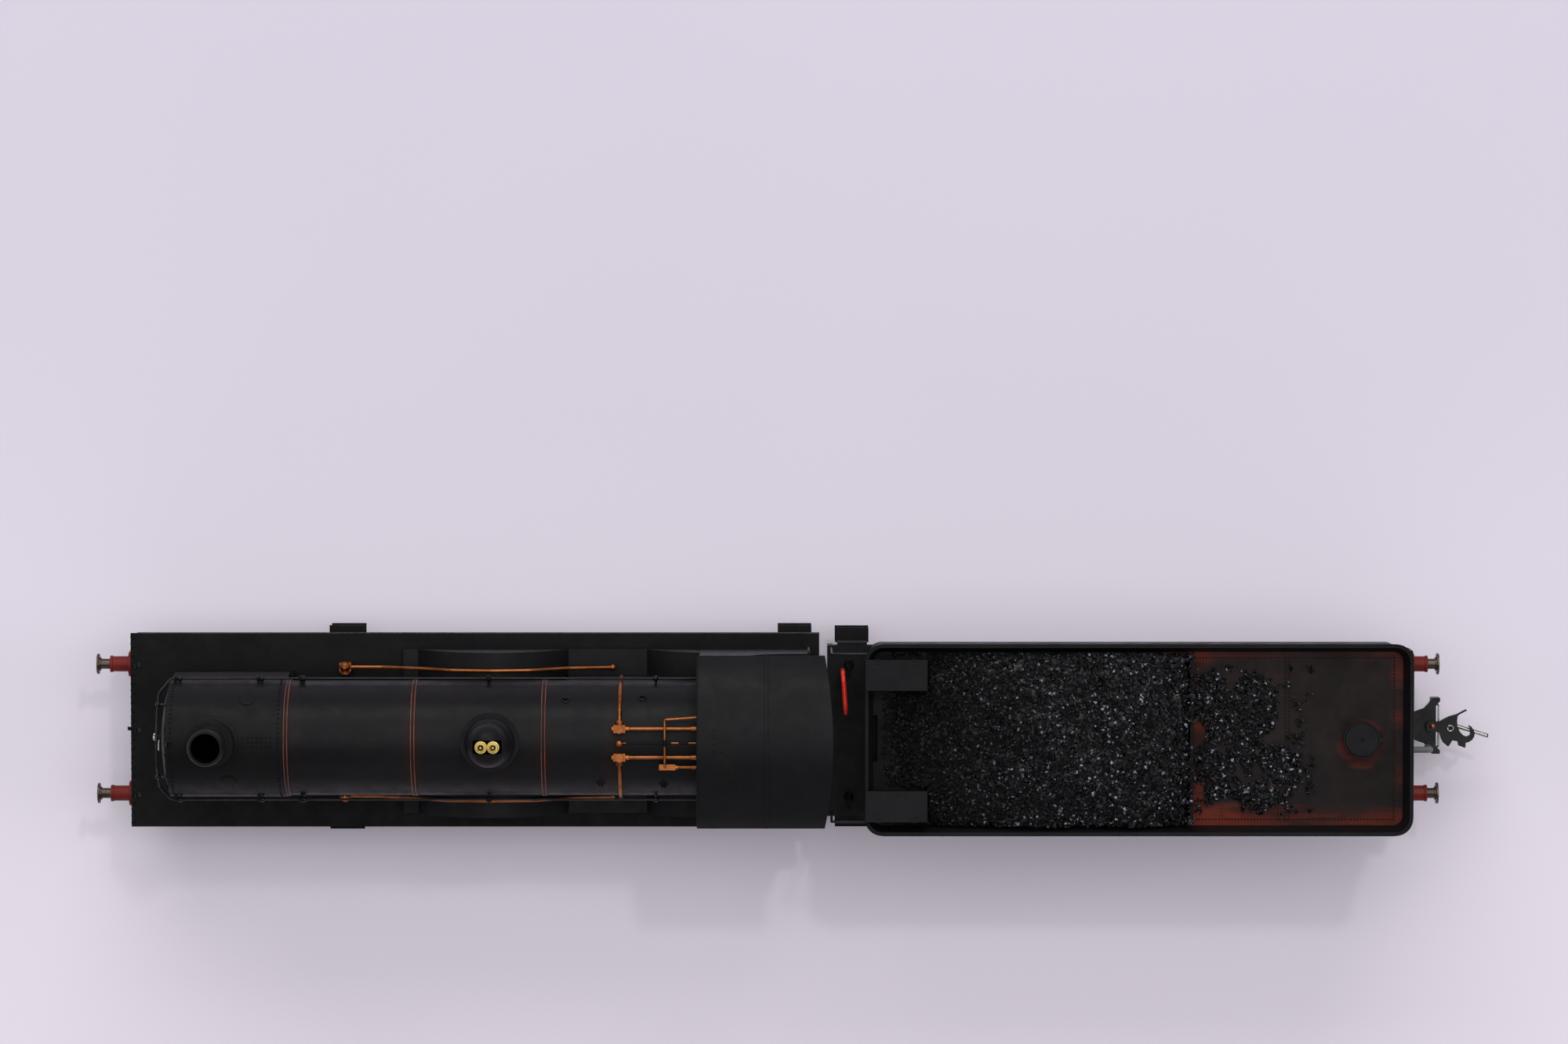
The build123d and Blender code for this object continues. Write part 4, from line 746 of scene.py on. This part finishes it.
plugs = Shape()
for x, angle in ((-39.4, 46), (-26.2, 49), (-33.4, -48), (-22.6, -50)):
    out = radial(math.radians(angle))
    at = Vector((x, 0, BOILER_Z)) + out * BOILER_R
    plugs.lathe([(0.78, -0.1), (0.78, 0.12), (0.66, 0.22), (0.46, 0.24)], at, out, 20)
    plugs.lathe([(0.40, 0.1), (0.40, 0.62), (0.34, 0.68), (0, 0.68)], at, out, 6, False)
plugs.make("washout_plugs", body_black, "engine")

covers = Shape()
for x, y in ((-94.0, 7.4), (-97.2, -7.1)):
    out = radial(math.asin(y / SMOKEBOX_R))
    at = Vector((x, 0, BOILER_Z)) + out * SMOKEBOX_R
    covers.lathe([(1.55, -0.2), (1.55, 0.03), (1.45, 0.07), (0, 0.08)], at, out, 28)
    for a in around(6):
        side = Vector((math.cos(a), 0, 0)) + out.cross(Vector(REAR)) * math.sin(a)
        covers.rivet(at + side * 1.2 + out * 0.06, out, 0.13)
covers.make("smokebox_covers", smoke_black, "engine")

# the door's rim, its two hinge straps across the dish, and the clips round it
FACE_X = smoke_low.x
STRAP_STEPS = 18
CLIP_R = 8.72
door = Shape()
door.lathe([(8.25, 0.28), (8.7, 0.36), (8.95, 0.2), (8.95, -0.1)], (FACE_X, 0, BOILER_Z), FRONT, 72)
for strap in (-3.1, 3.1):
    z = BOILER_Z + strap
    points = []
    for k in range(STRAP_STEPS + 1):
        y = -8.4 + 14.4 * k / STRAP_STEPS
        half = 0.42 - 0.16 * k / STRAP_STEPS
        dish = 1.4 - 1.05 * (min(math.hypot(y, strap), 8.2) / 8.2) ** 2.2
        x = FACE_X - dish - 0.10
        points.extend(((x, y, z - half), (x - 0.16, y, z - half * 0.8),
                       (x - 0.16, y, z + half * 0.8), (x, y, z + half)))
    faces = [(a, a + 1, a + 5, a + 4) for k in range(STRAP_STEPS) for a in range(4 * k, 4 * k + 3)]
    last = len(points) - 1
    faces.extend(((0, 1, 2, 3), (last, last - 1, last - 2, last - 3)))
    door.add(points, faces, False)
    door.tube([(FACE_X - 0.55, -8.45, z - 0.75), (FACE_X - 0.55, -8.45, z + 0.75)], 0.34)
for k in range(12):
    out = radial(math.radians(15 + 30 * k)) * CLIP_R
    door.rivet((FACE_X - 0.34, out.y, BOILER_Z + out.z), FRONT, 0.16)
door.make("smokebox_door_fittings", smoke_black, "engine")

CHIMNEY_X = -99.75
THROAT = (CHIMNEY_X, 0, 44.2)
beads = Shape()
for height, radius in ((48.0, 2.72), (52.0, 3.06)):
    beads.tube([(CHIMNEY_X + radius * math.cos(a), radius * math.sin(a), height)
                for a in around(48)], 0.10, 8, True)
beads.make("chimney_beads", smoke_black, "engine")

# a dead black disc and lining inside the chimney: painted shade in its bore
throat = Shape()
throat.lathe([(2.28, 0.05), (2.28, 0.15), (0, 0.15)], THROAT, UP, 36)
throat.lathe([(2.27, 0.1), (2.43, 8.6), (2.40, 8.6), (2.24, 0.1)], THROAT, UP, 40)
throat.make("chimney_opening_shade", opening_shade, "engine")

# a dead black slab round the foot of the safety valves: painted shade in their well
WELL_X = -52.25
well = Shape()
well.block((WELL_X - 2.44, -1.12, 49.95), (WELL_X + 2.44, 1.12, 50.2), 0.02)
well.make("safety_valve_well", opening_shade, "engine")

# rivets in two rows along the front beam, but for the buffers and the hook
BUFFER_Y = 11.4
beam_rivets = Shape()
for k in range(17):
    y = -14.0 + 1.75 * k
    if abs(abs(y) - BUFFER_Y) > 1.9 and abs(y) > 1.2:
        for drop in (1.0, 5.6):
            beam_rivets.rivet((plate_low.x, y, PLATE_TOP - drop), FRONT, 0.20)
beam_rivets.make("buffer_beam_rivets", shaded_plate_black, "engine")

dart = Shape()
for out, angle in ((2.75, 0.35), (2.15, -1.15)):
    hub = Vector((FACE_X - out, 0, BOILER_Z))
    dart.tube([hub, hub + radial(angle) * 2.3], 0.18)
dart.tube([(FACE_X - 0.5, 0, BOILER_Z), (FACE_X - 2.9, 0, BOILER_Z)], 0.30)
dart.lathe([(0.5, -0.1), (0.5, 0.25), (0.34, 0.36), (0, 0.36)], (FACE_X - 2.85, 0, BOILER_Z),
           FRONT, 20)
dart.make("smokebox_dart", rod_steel, "engine")


# lamp irons on the smokebox top and the running plate
def lamp_iron(shape, x, y, z, facing, height=1.9):
    """A bent strip: a short foot and an upright tongue."""
    for reach, half, base, top in ((0.9, 0.42, -0.05, 0.16), (0.22, 0.36, 0, height)):
        low, high = sorted((x, x + facing * reach))
        shape.block((low, y - half, z + base), (high, y + half, z + top), 0.03)


irons = Shape()
lamp_iron(irons, -107.2, -0.2, 42.5, -1, 2.2)
for y in (-BUFFER_Y, 0.0, BUFFER_Y):
    lamp_iron(irons, -115.6, y, PLATE_TOP, 1)
irons.make("front_lamp_irons", handrail_black, "engine")

# ball knobs that hold the handrail along the boiler
RAIL_Y, RAIL_Z = 10.45, 35.1
knobs = Shape()
for x, size in ((-106.6, 0.40), (-92.4, 0.40), (-85.0, 0.58), (-52.75, 0.60)):
    for side in (1, -1):
        cut = 0.7 * size
        ball = [(0, -size), (cut, -cut), (size, 0), (cut, cut), (0, size)]
        at = (x, side * RAIL_Y, RAIL_Z)
        knobs.lathe(ball, at, REAR, 18)
        knobs.tube([(x, side * (RAIL_Y - 1.1), RAIL_Z - 0.1), at], 0.26, 10)
knobs.make("handrail_knobs", shaded_plate_black, "engine")

# rivets round the front of the running plate and along its sides
plate_bits = Shape()
for y in spaced(-16.2, 16.2, 1.6):
    plate_bits.rivet((plate_low.x + 0.45, y, plate_high.z), UP, 0.25)
for y in spaced(-16.3, 16.3, 1.15):
    for z in (plate_high.z - 0.55, 10.95):
        plate_bits.rivet((plate_low.x, y, z), FRONT, 0.17)
for side in (1, -1):
    for z in spaced(11.6, 16.6, 1.0):
        plate_bits.rivet((plate_low.x, side * 15.9, z), FRONT, 0.17)
    for x in spaced(-82.5, -60.0, 1.4):
        plate_bits.rivet((x, side * 17.0, 16.9), (0, side, 0), 0.13)
plate_bits.make("buffer_beam_rivets", shaded_plate_black, "engine")

valves = Shape()
valve_low, valve_high = limits("safety_valves")
valve_y = (valve_low.y + valve_high.y) / 2
valve_mouths = [(x, valve_y, valve_high.z) for x in (valve_low.x + 0.98, valve_high.x - 0.98)]
for mouth in valve_mouths:
    valves.lathe([(0.83, -0.35), (0.86, -0.02), (0.78, 0.12), (0.62, 0.13), (0.50, 0.02),
                  (0.45, -0.25)], mouth, UP, 28)
    valves.lathe([(0.22, -0.5), (0.22, 0.0), (0.15, 0.08), (0, 0.09)], mouth, UP, 20)
    valves.lathe([(1.06, -1.0), (1.10, -0.86), (1.06, -0.72), (0.98, -0.70)], mouth, UP, 28)
valves.make("safety_valve_lips", brass, "engine")
# black rings that close the valve mouths: painted shade standing in for their bores
pits = Shape()
for mouth in valve_mouths:
    pits.lathe([(0.49, -0.3), (0.49, 0.0), (0.24, 0.0)], mouth, UP, 28)
pits.make("safety_valve_pits", shaded_plate_black, "engine")

# unions and collars of the pipes on the boiler
FITTING_X = -30.05
FITTING_Z = 43.0
unions = Shape()
for side in (1, -1):
    y = side * 2.45
    away = Vector((0, side * 0.94, -0.34))
    unions.lathe([(0.40, -0.35), (0.66, -0.24), (0.70, 0.0), (0.66, 0.22), (0.36, 0.30)],
                 (FITTING_X, y + side * 1.05, FITTING_Z - 0.28), away, 20)
    unions.lathe([(0.50, -0.3), (0.50, 0.30), (0.34, 0.42)],
                 (FITTING_X, y + side * 0.62, FITTING_Z), (0, side, 0), 6, False)
    unions.lathe([(0.46, -0.2), (0.46, 0.32), (0.30, 0.42), (0, 0.42)],
                 (FITTING_X - 1.0, y, FITTING_Z), FRONT, 6, False)
    unions.lathe([(0.34, -0.5), (0.46, -0.4), (0.46, 0.30), (0.34, 0.42)],
                 (FITTING_X + 1.35, y, FITTING_Z), REAR, 6, False)
    unions.lathe([(0.30, -0.55), (0.43, -0.45), (0.43, 0.40)], (-17.35, y, FITTING_Z), REAR, 18)
unions.lathe([(0.20, -0.6), (0.34, -0.5), (0.34, 0.3)], (-17.3, -4.2, 42.1), REAR, 16)
unions.lathe([(0.24, -0.4), (0.37, -0.3), (0.37, 0.35), (0.26, 0.45)], (-20.4, -4.2, 42.1),
             REAR, 6, False)
unions.lathe([(0.36, -0.3), (0.50, -0.15), (0.62, 0.1), (0.62, 0.34), (0.46, 0.62), (0.22, 0.74),
              (0, 0.76)], (FITTING_X, 0, 43.6), UP, 24)
unions.make("pipe_unions", copper, "engine")

# clack valves at the front of the feed pipes
clacks = Shape()
for side in (1, -1):
    at = (-78.6, side * 11.35, 21.3)
    clacks.lathe([(0, -0.95), (0.48, -0.82), (0.82, -0.48), (0.95, 0), (0.82, 0.48), (0.48, 0.82),
                  (0, 0.95)], at, UP, 24)
    clacks.lathe([(0.55, 0), (0.55, 0.9), (0.92, 0.95), (0.92, 1.25), (0.5, 1.3)], at,
                 (0, -side, 0), 20)
    clacks.lathe([(0.45, 0.6), (0.45, 1.15), (0.30, 1.3), (0, 1.3)], at, UP, 6, False)
clacks.make("clack_valves", copper, "engine")

# -------- cab
ROOF_R = 20.21
ROOF_Z = 27.49
roof_front = limits("cab_roof")[0].x


def on_roof(x, y, lift=0.0):
    return Vector((x, y, ROOF_Z + math.sqrt((ROOF_R + lift) ** 2 - y * y)))


roof = Shape()
for x, y in ((-13.9, 2.6), (-13.9, 1.3), (-13.9, 0.2), (-13.9, -1.2), (-12.7, -1.2)):
    at = on_roof(x, y)
    roof.rivet(at, (0, at.y, at.z - ROOF_Z), 0.16)
roof.make("roof_rivets", body_black, "engine")

roof_bead = Shape()
roof_bead.tube([on_roof(roof_front + 0.12, y, 0.03) for y in spaced(-14.6, 14.6, 0.8)], 0.12, 8)
roof_bead.make("roof_front_bead", body_black, "engine")

PILLAR_X = 2.35
pillars = Shape()
for side in (1, -1):
    y = side * 14.75
    foot_y = y - side * 0.3
    pillars.tube([(PILLAR_X, foot_y, 19.0), (PILLAR_X, y, 19.4), (PILLAR_X, y, 30.4),
                  (PILLAR_X, foot_y, 30.8)], 0.2, 10)
pillars.make("cab_pillar_rails", handrail_black, "engine")

# on the back of the firebox: the fire hole's door, water gauges, dials with their pipes, levers
back_x = limits("backhead")[1].x
fire = Shape()
fire.lathe([(2.2, -0.1), (2.2, 0.25), (1.95, 0.4), (0, 0.4)], (back_x, 0, 25.4), REAR, 32)
fire.block((back_x, -2.7, 23.0), (back_x + 0.35, 2.7, 23.35), 0.06)
fire.make("firehole_door", shaded_plate_black, "engine")
GAUGE_FOOT, GAUGE_TOP = 29.2, 33.6
taps = Shape()
for y in (-4.2, 4.2):
    taps.tube([(back_x + 0.5, y, GAUGE_FOOT), (back_x + 0.5, y, GAUGE_TOP)], 0.24)
    for z in (GAUGE_FOOT, GAUGE_TOP):
        taps.lathe([(0.42, -0.1), (0.42, 0.45), (0.3, 0.6), (0, 0.6)], (back_x, y, z), REAR, 16)
for y, z in ((-1.6, 38.3), (1.6, 38.3), (0, 39.4)):
    taps.lathe([(0.95, -0.1), (0.95, 0.5), (0.8, 0.55)], (back_x, y, z), REAR, 28)
for side in (-1, 1):
    taps.tube(curve_through([(back_x, side * 1.6, 37.5), (back_x + 0.7, side * 2.6, 36.4),
                             (back_x + 0.5, side * 6.0, 34.5), (back_x, side * 7.2, 33.0)]), 0.2)
taps.make("cab_gauges", brass, "engine")
levers = Shape()
levers.lathe([(0.7, 0), (0.7, 0.35), (0.4, 0.6), (0, 0.6)], (back_x, 0, 35.2), REAR, 24)
levers.tube([(back_x + 0.75, y, z) for y, z in ((-3.0, 34.0), (0, 35.2), (3.0, 36.4))], 0.22)
levers.tube([(back_x + 1.6, -8.6, 19.0), (back_x + 1.0, -8.6, 26.8)], 0.24)
levers.make("cab_levers", rod_steel, "engine")

# -------- tender details
tank_rear = limits("tender_tank")[1].x
flare_low, flare_high = limits("tank_flare")

# rivets on the tank's lid; each row across has an x, a spacing, a radius and a bare middle
LID_ROW = 13.95
REAR_ROW = 103.2
tank_rivets = Shape()
for y in (-LID_ROW, LID_ROW):
    for x in spaced(69.2, REAR_ROW, 0.56):
        tank_rivets.rivet((x, y, LID), UP, 0.17)
for x, step, radius, bare in (
    (REAR_ROW, 0.56, 0.17, 0), (84.5, 0.60, 0.20, 0), (85.15, 0.60, 0.20, 0),
    (73.5, 0.62, 0.10, 0), (83.3, 0.62, 0.14, 11),
):
    for y in spaced(-LID_ROW, LID_ROW, step):
        if abs(y) >= bare:
            tank_rivets.rivet((x, y, LID), UP, radius)
tank_rivets.make("tank_lid_rivets", rivet_brown, "tender")

# a bead round the top of the flare, with quarter circles at its corners
CORNER = 3.2
BEAD_Y = 16.4 - CORNER
bead_front, bead_rear = flare_low.x + 0.12 + CORNER, flare_high.x - 0.12 - CORNER
path = []
for cx, cy, start in ((bead_rear, BEAD_Y, 0), (bead_front, BEAD_Y, 90),
                      (bead_front, -BEAD_Y, 180), (bead_rear, -BEAD_Y, 270)):
    for k in range(9):
        a = math.radians(start + 90 * k / 8)
        path.append((cx + CORNER * math.cos(a), cy + CORNER * math.sin(a), flare_high.z - 0.05))
bead = Shape()
bead.tube(path, 0.16, 8, True)
bead.make("tank_top_bead", body_black, "tender")

cap = Shape()
cap.lathe([(2.9, -0.35), (2.9, -0.14), (2.8, 0.0), (0.18, 0.0), (0.18, -0.2), (0, -0.2)],
          (CAP_X, 0, limits("filler_cap")[1].z), UP, 48, False)
cap.make("filler_cap_lid", body_black, "tender")

STAND_X = 9.4
HANDLE_Z = 27.2
stands = Shape()
for side in (1, -1):
    y = side * 11.6
    stands.tube([(STAND_X, y, 18.8), (STAND_X, y, 27.3)], 0.34)
    stands.lathe([(0.85, 0), (0.85, 0.5), (0.5, 1.6), (0.4, 1.6)], (STAND_X, y, 18.9), UP, 20)
    stands.lathe([(0.55, 0), (0.55, 0.5), (0.4, 0.6)], (STAND_X, y, 25.2), UP, 16)
    stands.tube([(STAND_X, y - 1.5, HANDLE_Z), (STAND_X, y + 1.5, HANDLE_Z)], 0.2)
    grip_y = y + side * 1.4
    stands.tube([(STAND_X, grip_y, HANDLE_Z), (STAND_X, grip_y, 28.0)], 0.22)
stands.make("brake_standards", shaded_plate_black, "tender")
rails = Shape()
for side in (1, -1):
    y = side * 14.5
    line = [(6.35, 18.9), (6.35, 25.0), (6.35, 32.2), (6.9, 33.2), (12.4, 33.4)]
    rails.tube(curve_through([(x, y, z) for x, z in line]), 0.22, 10)
rails.make("tender_front_rails", handrail_black, "tender")

toolbox_low, toolbox_high = limits("toolboxes")
box_top = toolbox_high.z
boxes = Shape()
for side in (1, -1):
    y0, y1 = sorted((side * 8.62, side * 13.98))
    boxes.block((toolbox_low.x - 0.15, y0, box_top - 0.12),
                (toolbox_high.x + 0.15, y1, box_top + 0.14), 0.05)
    for x in (14.2, 20.4):
        y = side * 13.9
        boxes.block((x - 0.45, y - 0.15, box_top - 0.5), (x + 0.45, y + 0.15, box_top + 0.25), 0.04)
        boxes.rivet((x, side * 13.2, box_top + 0.14), UP, 0.15)
    boxes.rivet((17.3, side * 9.2, box_top + 0.14), UP, 0.15)
boxes.make("toolbox_lids", body_black, "tender")

# rear face of the tender: upright rails and lamp irons
rear = Shape()
for y in (13.6, -13.6):
    line = ((0, 21.6), (0.75, 21.8), (0.75, 32.0), (0, 32.2))
    rear.tube([(tank_rear + out, y, z) for out, z in line], 0.2, 10)
rear.make("tender_rear_rails", handrail_black, "tender")
rear_irons = Shape()
for y in (-11.6, 0.0, 11.6):
    for x0, x1, half, z0, z1 in ((-0.1, 0.16, 0.36, 24.5, 25.6), (-0.1, 0.9, 0.36, 25.4, 25.62),
                                 (0.68, 0.9, 0.32, 25.5, 27.2)):
        rear_irons.block((tank_rear + x0, y - half, z0), (tank_rear + x1, y + half, z1), 0.03)
rear_irons.make("tender_lamp_irons", handrail_black, "tender")

# -------- coal
coal_low, coal_high = limits("coal_load")
COAL_HALF_WIDTH = 14.9
HEAP_HALF_WIDTH = 14.6
HEAP_RISE, HEAP_FALL = 0.42, 0.86
HEAP_TOP = 40.4


def heap_height(x, y):
    """Height of the coal's surface: low by the footplate, heaped behind, falling to the sides."""
    along = (x - coal_low.x) / (coal_high.x - coal_low.x)
    rise = min(1.0, max(0.0, along / HEAP_RISE)) ** 0.8
    rear = 1.0 - 0.5 * max(0.0, (along - HEAP_FALL) / (1 - HEAP_FALL)) ** 2
    across = 1.0 - 0.42 * (abs(y) / HEAP_HALF_WIDTH) ** 3
    crest = LID - 0.6 + 5.9 * rise * rear * across
    crest += 0.9 * noise.noise(Vector((x * 0.13, y * 0.13, 3.1)))
    crest += 0.5 * noise.noise(Vector((x * 0.42, y * 0.42, 8.7)))
    return max(LID + 0.05, min(crest, HEAP_TOP))


def rocks(name, spots):
    """One mesh of sharp little lumps of coal: (place, size) pairs."""
    work = bmesh.new()
    bmesh.ops.create_icosphere(work, subdivisions=1, radius=1.0)
    base = np.array([v.co for v in work.verts])
    faces = np.array([[v.index for v in face.verts] for face in work.faces])
    work.free()
    seeded = np.random.default_rng(5)
    count = len(spots)
    at = np.array([s[0] for s in spots])
    size = np.array([s[1] for s in spots])
    stretch = seeded.uniform(0.62, 1.28, (count, 1, 3))
    jitter = 1 + seeded.uniform(-0.30, 0.30, (count, len(base), 1))
    lumps = base[None] * stretch * jitter
    turns = np.array([Quaternion(spin).normalized().to_matrix()
                      for spin in seeded.normal(size=(count, 4))])
    lumps = np.einsum("nij,nkj->nki", turns, lumps) * size[:, None, None] / 2
    points = (lumps + at[:, None]).reshape(-1, 3) * MM
    corners = (faces[None] + (np.arange(count) * len(base))[:, None, None]).reshape(-1, 3)
    mesh = bpy.data.meshes.new(name)
    mesh.from_pydata(points.tolist(), [], corners.tolist())
    mesh.materials.append(coal)
    shell = bpy.data.objects.new(name, mesh)
    scene.collection.objects.link(shell)
    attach(shell, "tender")


def in_toolbox(x, y):
    """Whether a place is on one of the two toolboxes in front of the coal."""
    return x < toolbox_high.x + 0.3 and 8.3 < abs(y) < 14.3


spots = []
for _ in range(11500):
    x = chance.uniform(coal_low.x + 0.2, coal_high.x + 0.9)
    y = chance.uniform(-COAL_HALF_WIDTH, COAL_HALF_WIDTH)
    if in_toolbox(x, y):
        continue
    edge = coal_high.x + 0.55 + 0.9 * noise.noise(Vector((0.0, y * 0.5, 4.4)))
    bare_patch = math.hypot(x - 68.9, 0.8 * (y - 1.0)) < 1.7
    if x > edge or bare_patch:
        continue
    size = 0.30 + 0.66 * chance.random() ** 2.4
    z = heap_height(min(x, coal_high.x - 0.3), y) + chance.uniform(-0.32, 0.10)
    # on the bulkhead's edge, and just behind it down to the lid
    if coal_high.x - 0.2 < x < coal_high.x + 0.75:
        z = max(z, flare_high.z + chance.uniform(-0.1, 0.15))
    elif x >= coal_high.x + 0.75:
        z = LID + chance.uniform(0.2, 2.4)
    spots.append(((x, y, z), size))
# a few large lumps
for _ in range(140):
    x = chance.uniform(coal_low.x + 8, coal_high.x - 1)
    y = chance.uniform(-13.5, 13.5)
    if not in_toolbox(x, y):
        spots.append(((x, y, heap_height(x, y)), chance.uniform(0.95, 1.35)))
rocks("coal_lumps", spots)

bed = Shape()
xs = spaced(coal_low.x + 0.05, coal_high.x - 0.05, 0.9)
ys = spaced(-14.95, 14.95, 0.9)
points = [(x, y, heap_height(x, y) - 0.35 if not in_toolbox(x, y) else LID - 0.2)
          for x in xs for y in ys]
faces = [(i * len(ys) + j, (i + 1) * len(ys) + j, (i + 1) * len(ys) + j + 1, i * len(ys) + j + 1)
         for i in range(len(xs) - 1) for j in range(len(ys) - 1)]
bed.add(points, faces)
heap = bed.make("coal_heap", coal, "tender")
skirt = heap.modifiers.new("depth", "SOLIDIFY")
skirt.thickness = 0.8 * MM
skirt.offset = -1.0
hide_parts("coal_load")

# patches of spilt coal on the lid: centre x, y, half length, half width, thickness of cover
SPILLS = [(79.2, 5.6, 3.6, 5.2, 1.0), (71.6, 6.2, 3.4, 4.6, 0.9), (84.4, -5.2, 3.4, 2.8, 1.0),
          (73.4, -8.4, 3.2, 2.0, 1.0), (80.4, -10.2, 3.0, 2.4, 0.9), (78.6, -2.6, 4.6, 2.4, 0.62),
          (71.4, -3.6, 2.6, 4.2, 0.62), (75.0, 1.4, 4.0, 3.4, 0.5)]
loose = []
for _ in range(26000):
    x = chance.uniform(coal_high.x + 0.4, 89.5)
    y = chance.uniform(-13.0, 12.6)
    cover = 0.0
    for cx, cy, half_x, half_y, strength in SPILLS:
        apart = math.hypot((x - cx) / half_x, (y - cy) / half_y)
        cover = max(cover, strength * (1.25 - apart))
    cover += 0.34 * noise.noise(Vector((x * 0.55, y * 0.55, 1.5)))
    bare_patch = math.hypot(x - 69.2, 0.75 * (y - 0.9)) < 1.6
    if bare_patch or chance.random() > cover * 0.95:
        continue
    size = 0.30 + 0.55 * chance.random() ** 2
    loose.append(((x, y, LID + 0.22 * size + chance.choice((0, 0.1, 0.3))), size))
rocks("loose_coal", loose)

# -------- rear coupling
# the hook's swinging wire with the boss on its pivot, the rivet before it, and the wire loop below
HOOK_TOP = 10.3
HOOK_BOSS = (115.79, -0.33, HOOK_TOP)
WIRE_Z = 9.2
hook_rear = limits("coupling_hook")[1].x
pin = Shape()
wire = ((116.3, 0.19), (119.5, -0.79), (hook_rear - 0.22, -1.73))
pin.tube([(x, y, WIRE_Z) for x, y in wire], 0.38, 16)
pin.lathe([(0.36, -0.3), (0.36, 0.22), (0.50, 0.28), (0.60, 0.24), (0.62, 0.0)], HOOK_BOSS, UP, 28)
pin.make("coupling_pin", bright_steel, "coupling_hook")
stud = Shape()
stud.lathe([(0.46, -0.05), (0.46, 0.24), (0.36, 0.38), (0.18, 0.44), (0, 0.45)],
           (112.7, 0, HOOK_TOP), UP, 24)
stud.make("coupling_rivet", copper, "tender")
loop = Shape()
loop.tube([(113.9, y, 8.8) for y in spaced(-3.5, 3.5, 0.7)], 0.17, 10)
loop.make("coupling_loop", bright_steel, "tender")

# -------- floor
FLOOR_REACH = 4.0
corners = [(x * FLOOR_REACH, y * FLOOR_REACH, 0) for x, y in ((-1, -1), (1, -1), (1, 1), (-1, 1))]
floor_mesh = bpy.data.meshes.new("floor")
floor_mesh.from_pydata(corners, [], [(0, 1, 2, 3)])
floor = bpy.data.objects.new("floor", floor_mesh)
scene.collection.objects.link(floor)
cloth = Finish("pale_floor", Specular_IOR_Level=0.2)
cloud = cloth.spread(cloth.noise(3.0, 3), 0.3, 0.7)
far = cloth.blend(cloud, (0.735, 0.690, 0.790), (0.755, 0.712, 0.812))
near = cloth.blend(cloud, (0.880, 0.820, 0.900), (0.905, 0.845, 0.925))
# paler towards -Y: painted light that offsets the train's shadow on that side of the floor
tone = cloth.blend(cloth.zone(cloth.along("Y"), 120, -90), far, near)
floor_mesh.materials.append(cloth.done(tone, cloth.wander(cloth.noise(90, 3), 0.75, 0.9)))
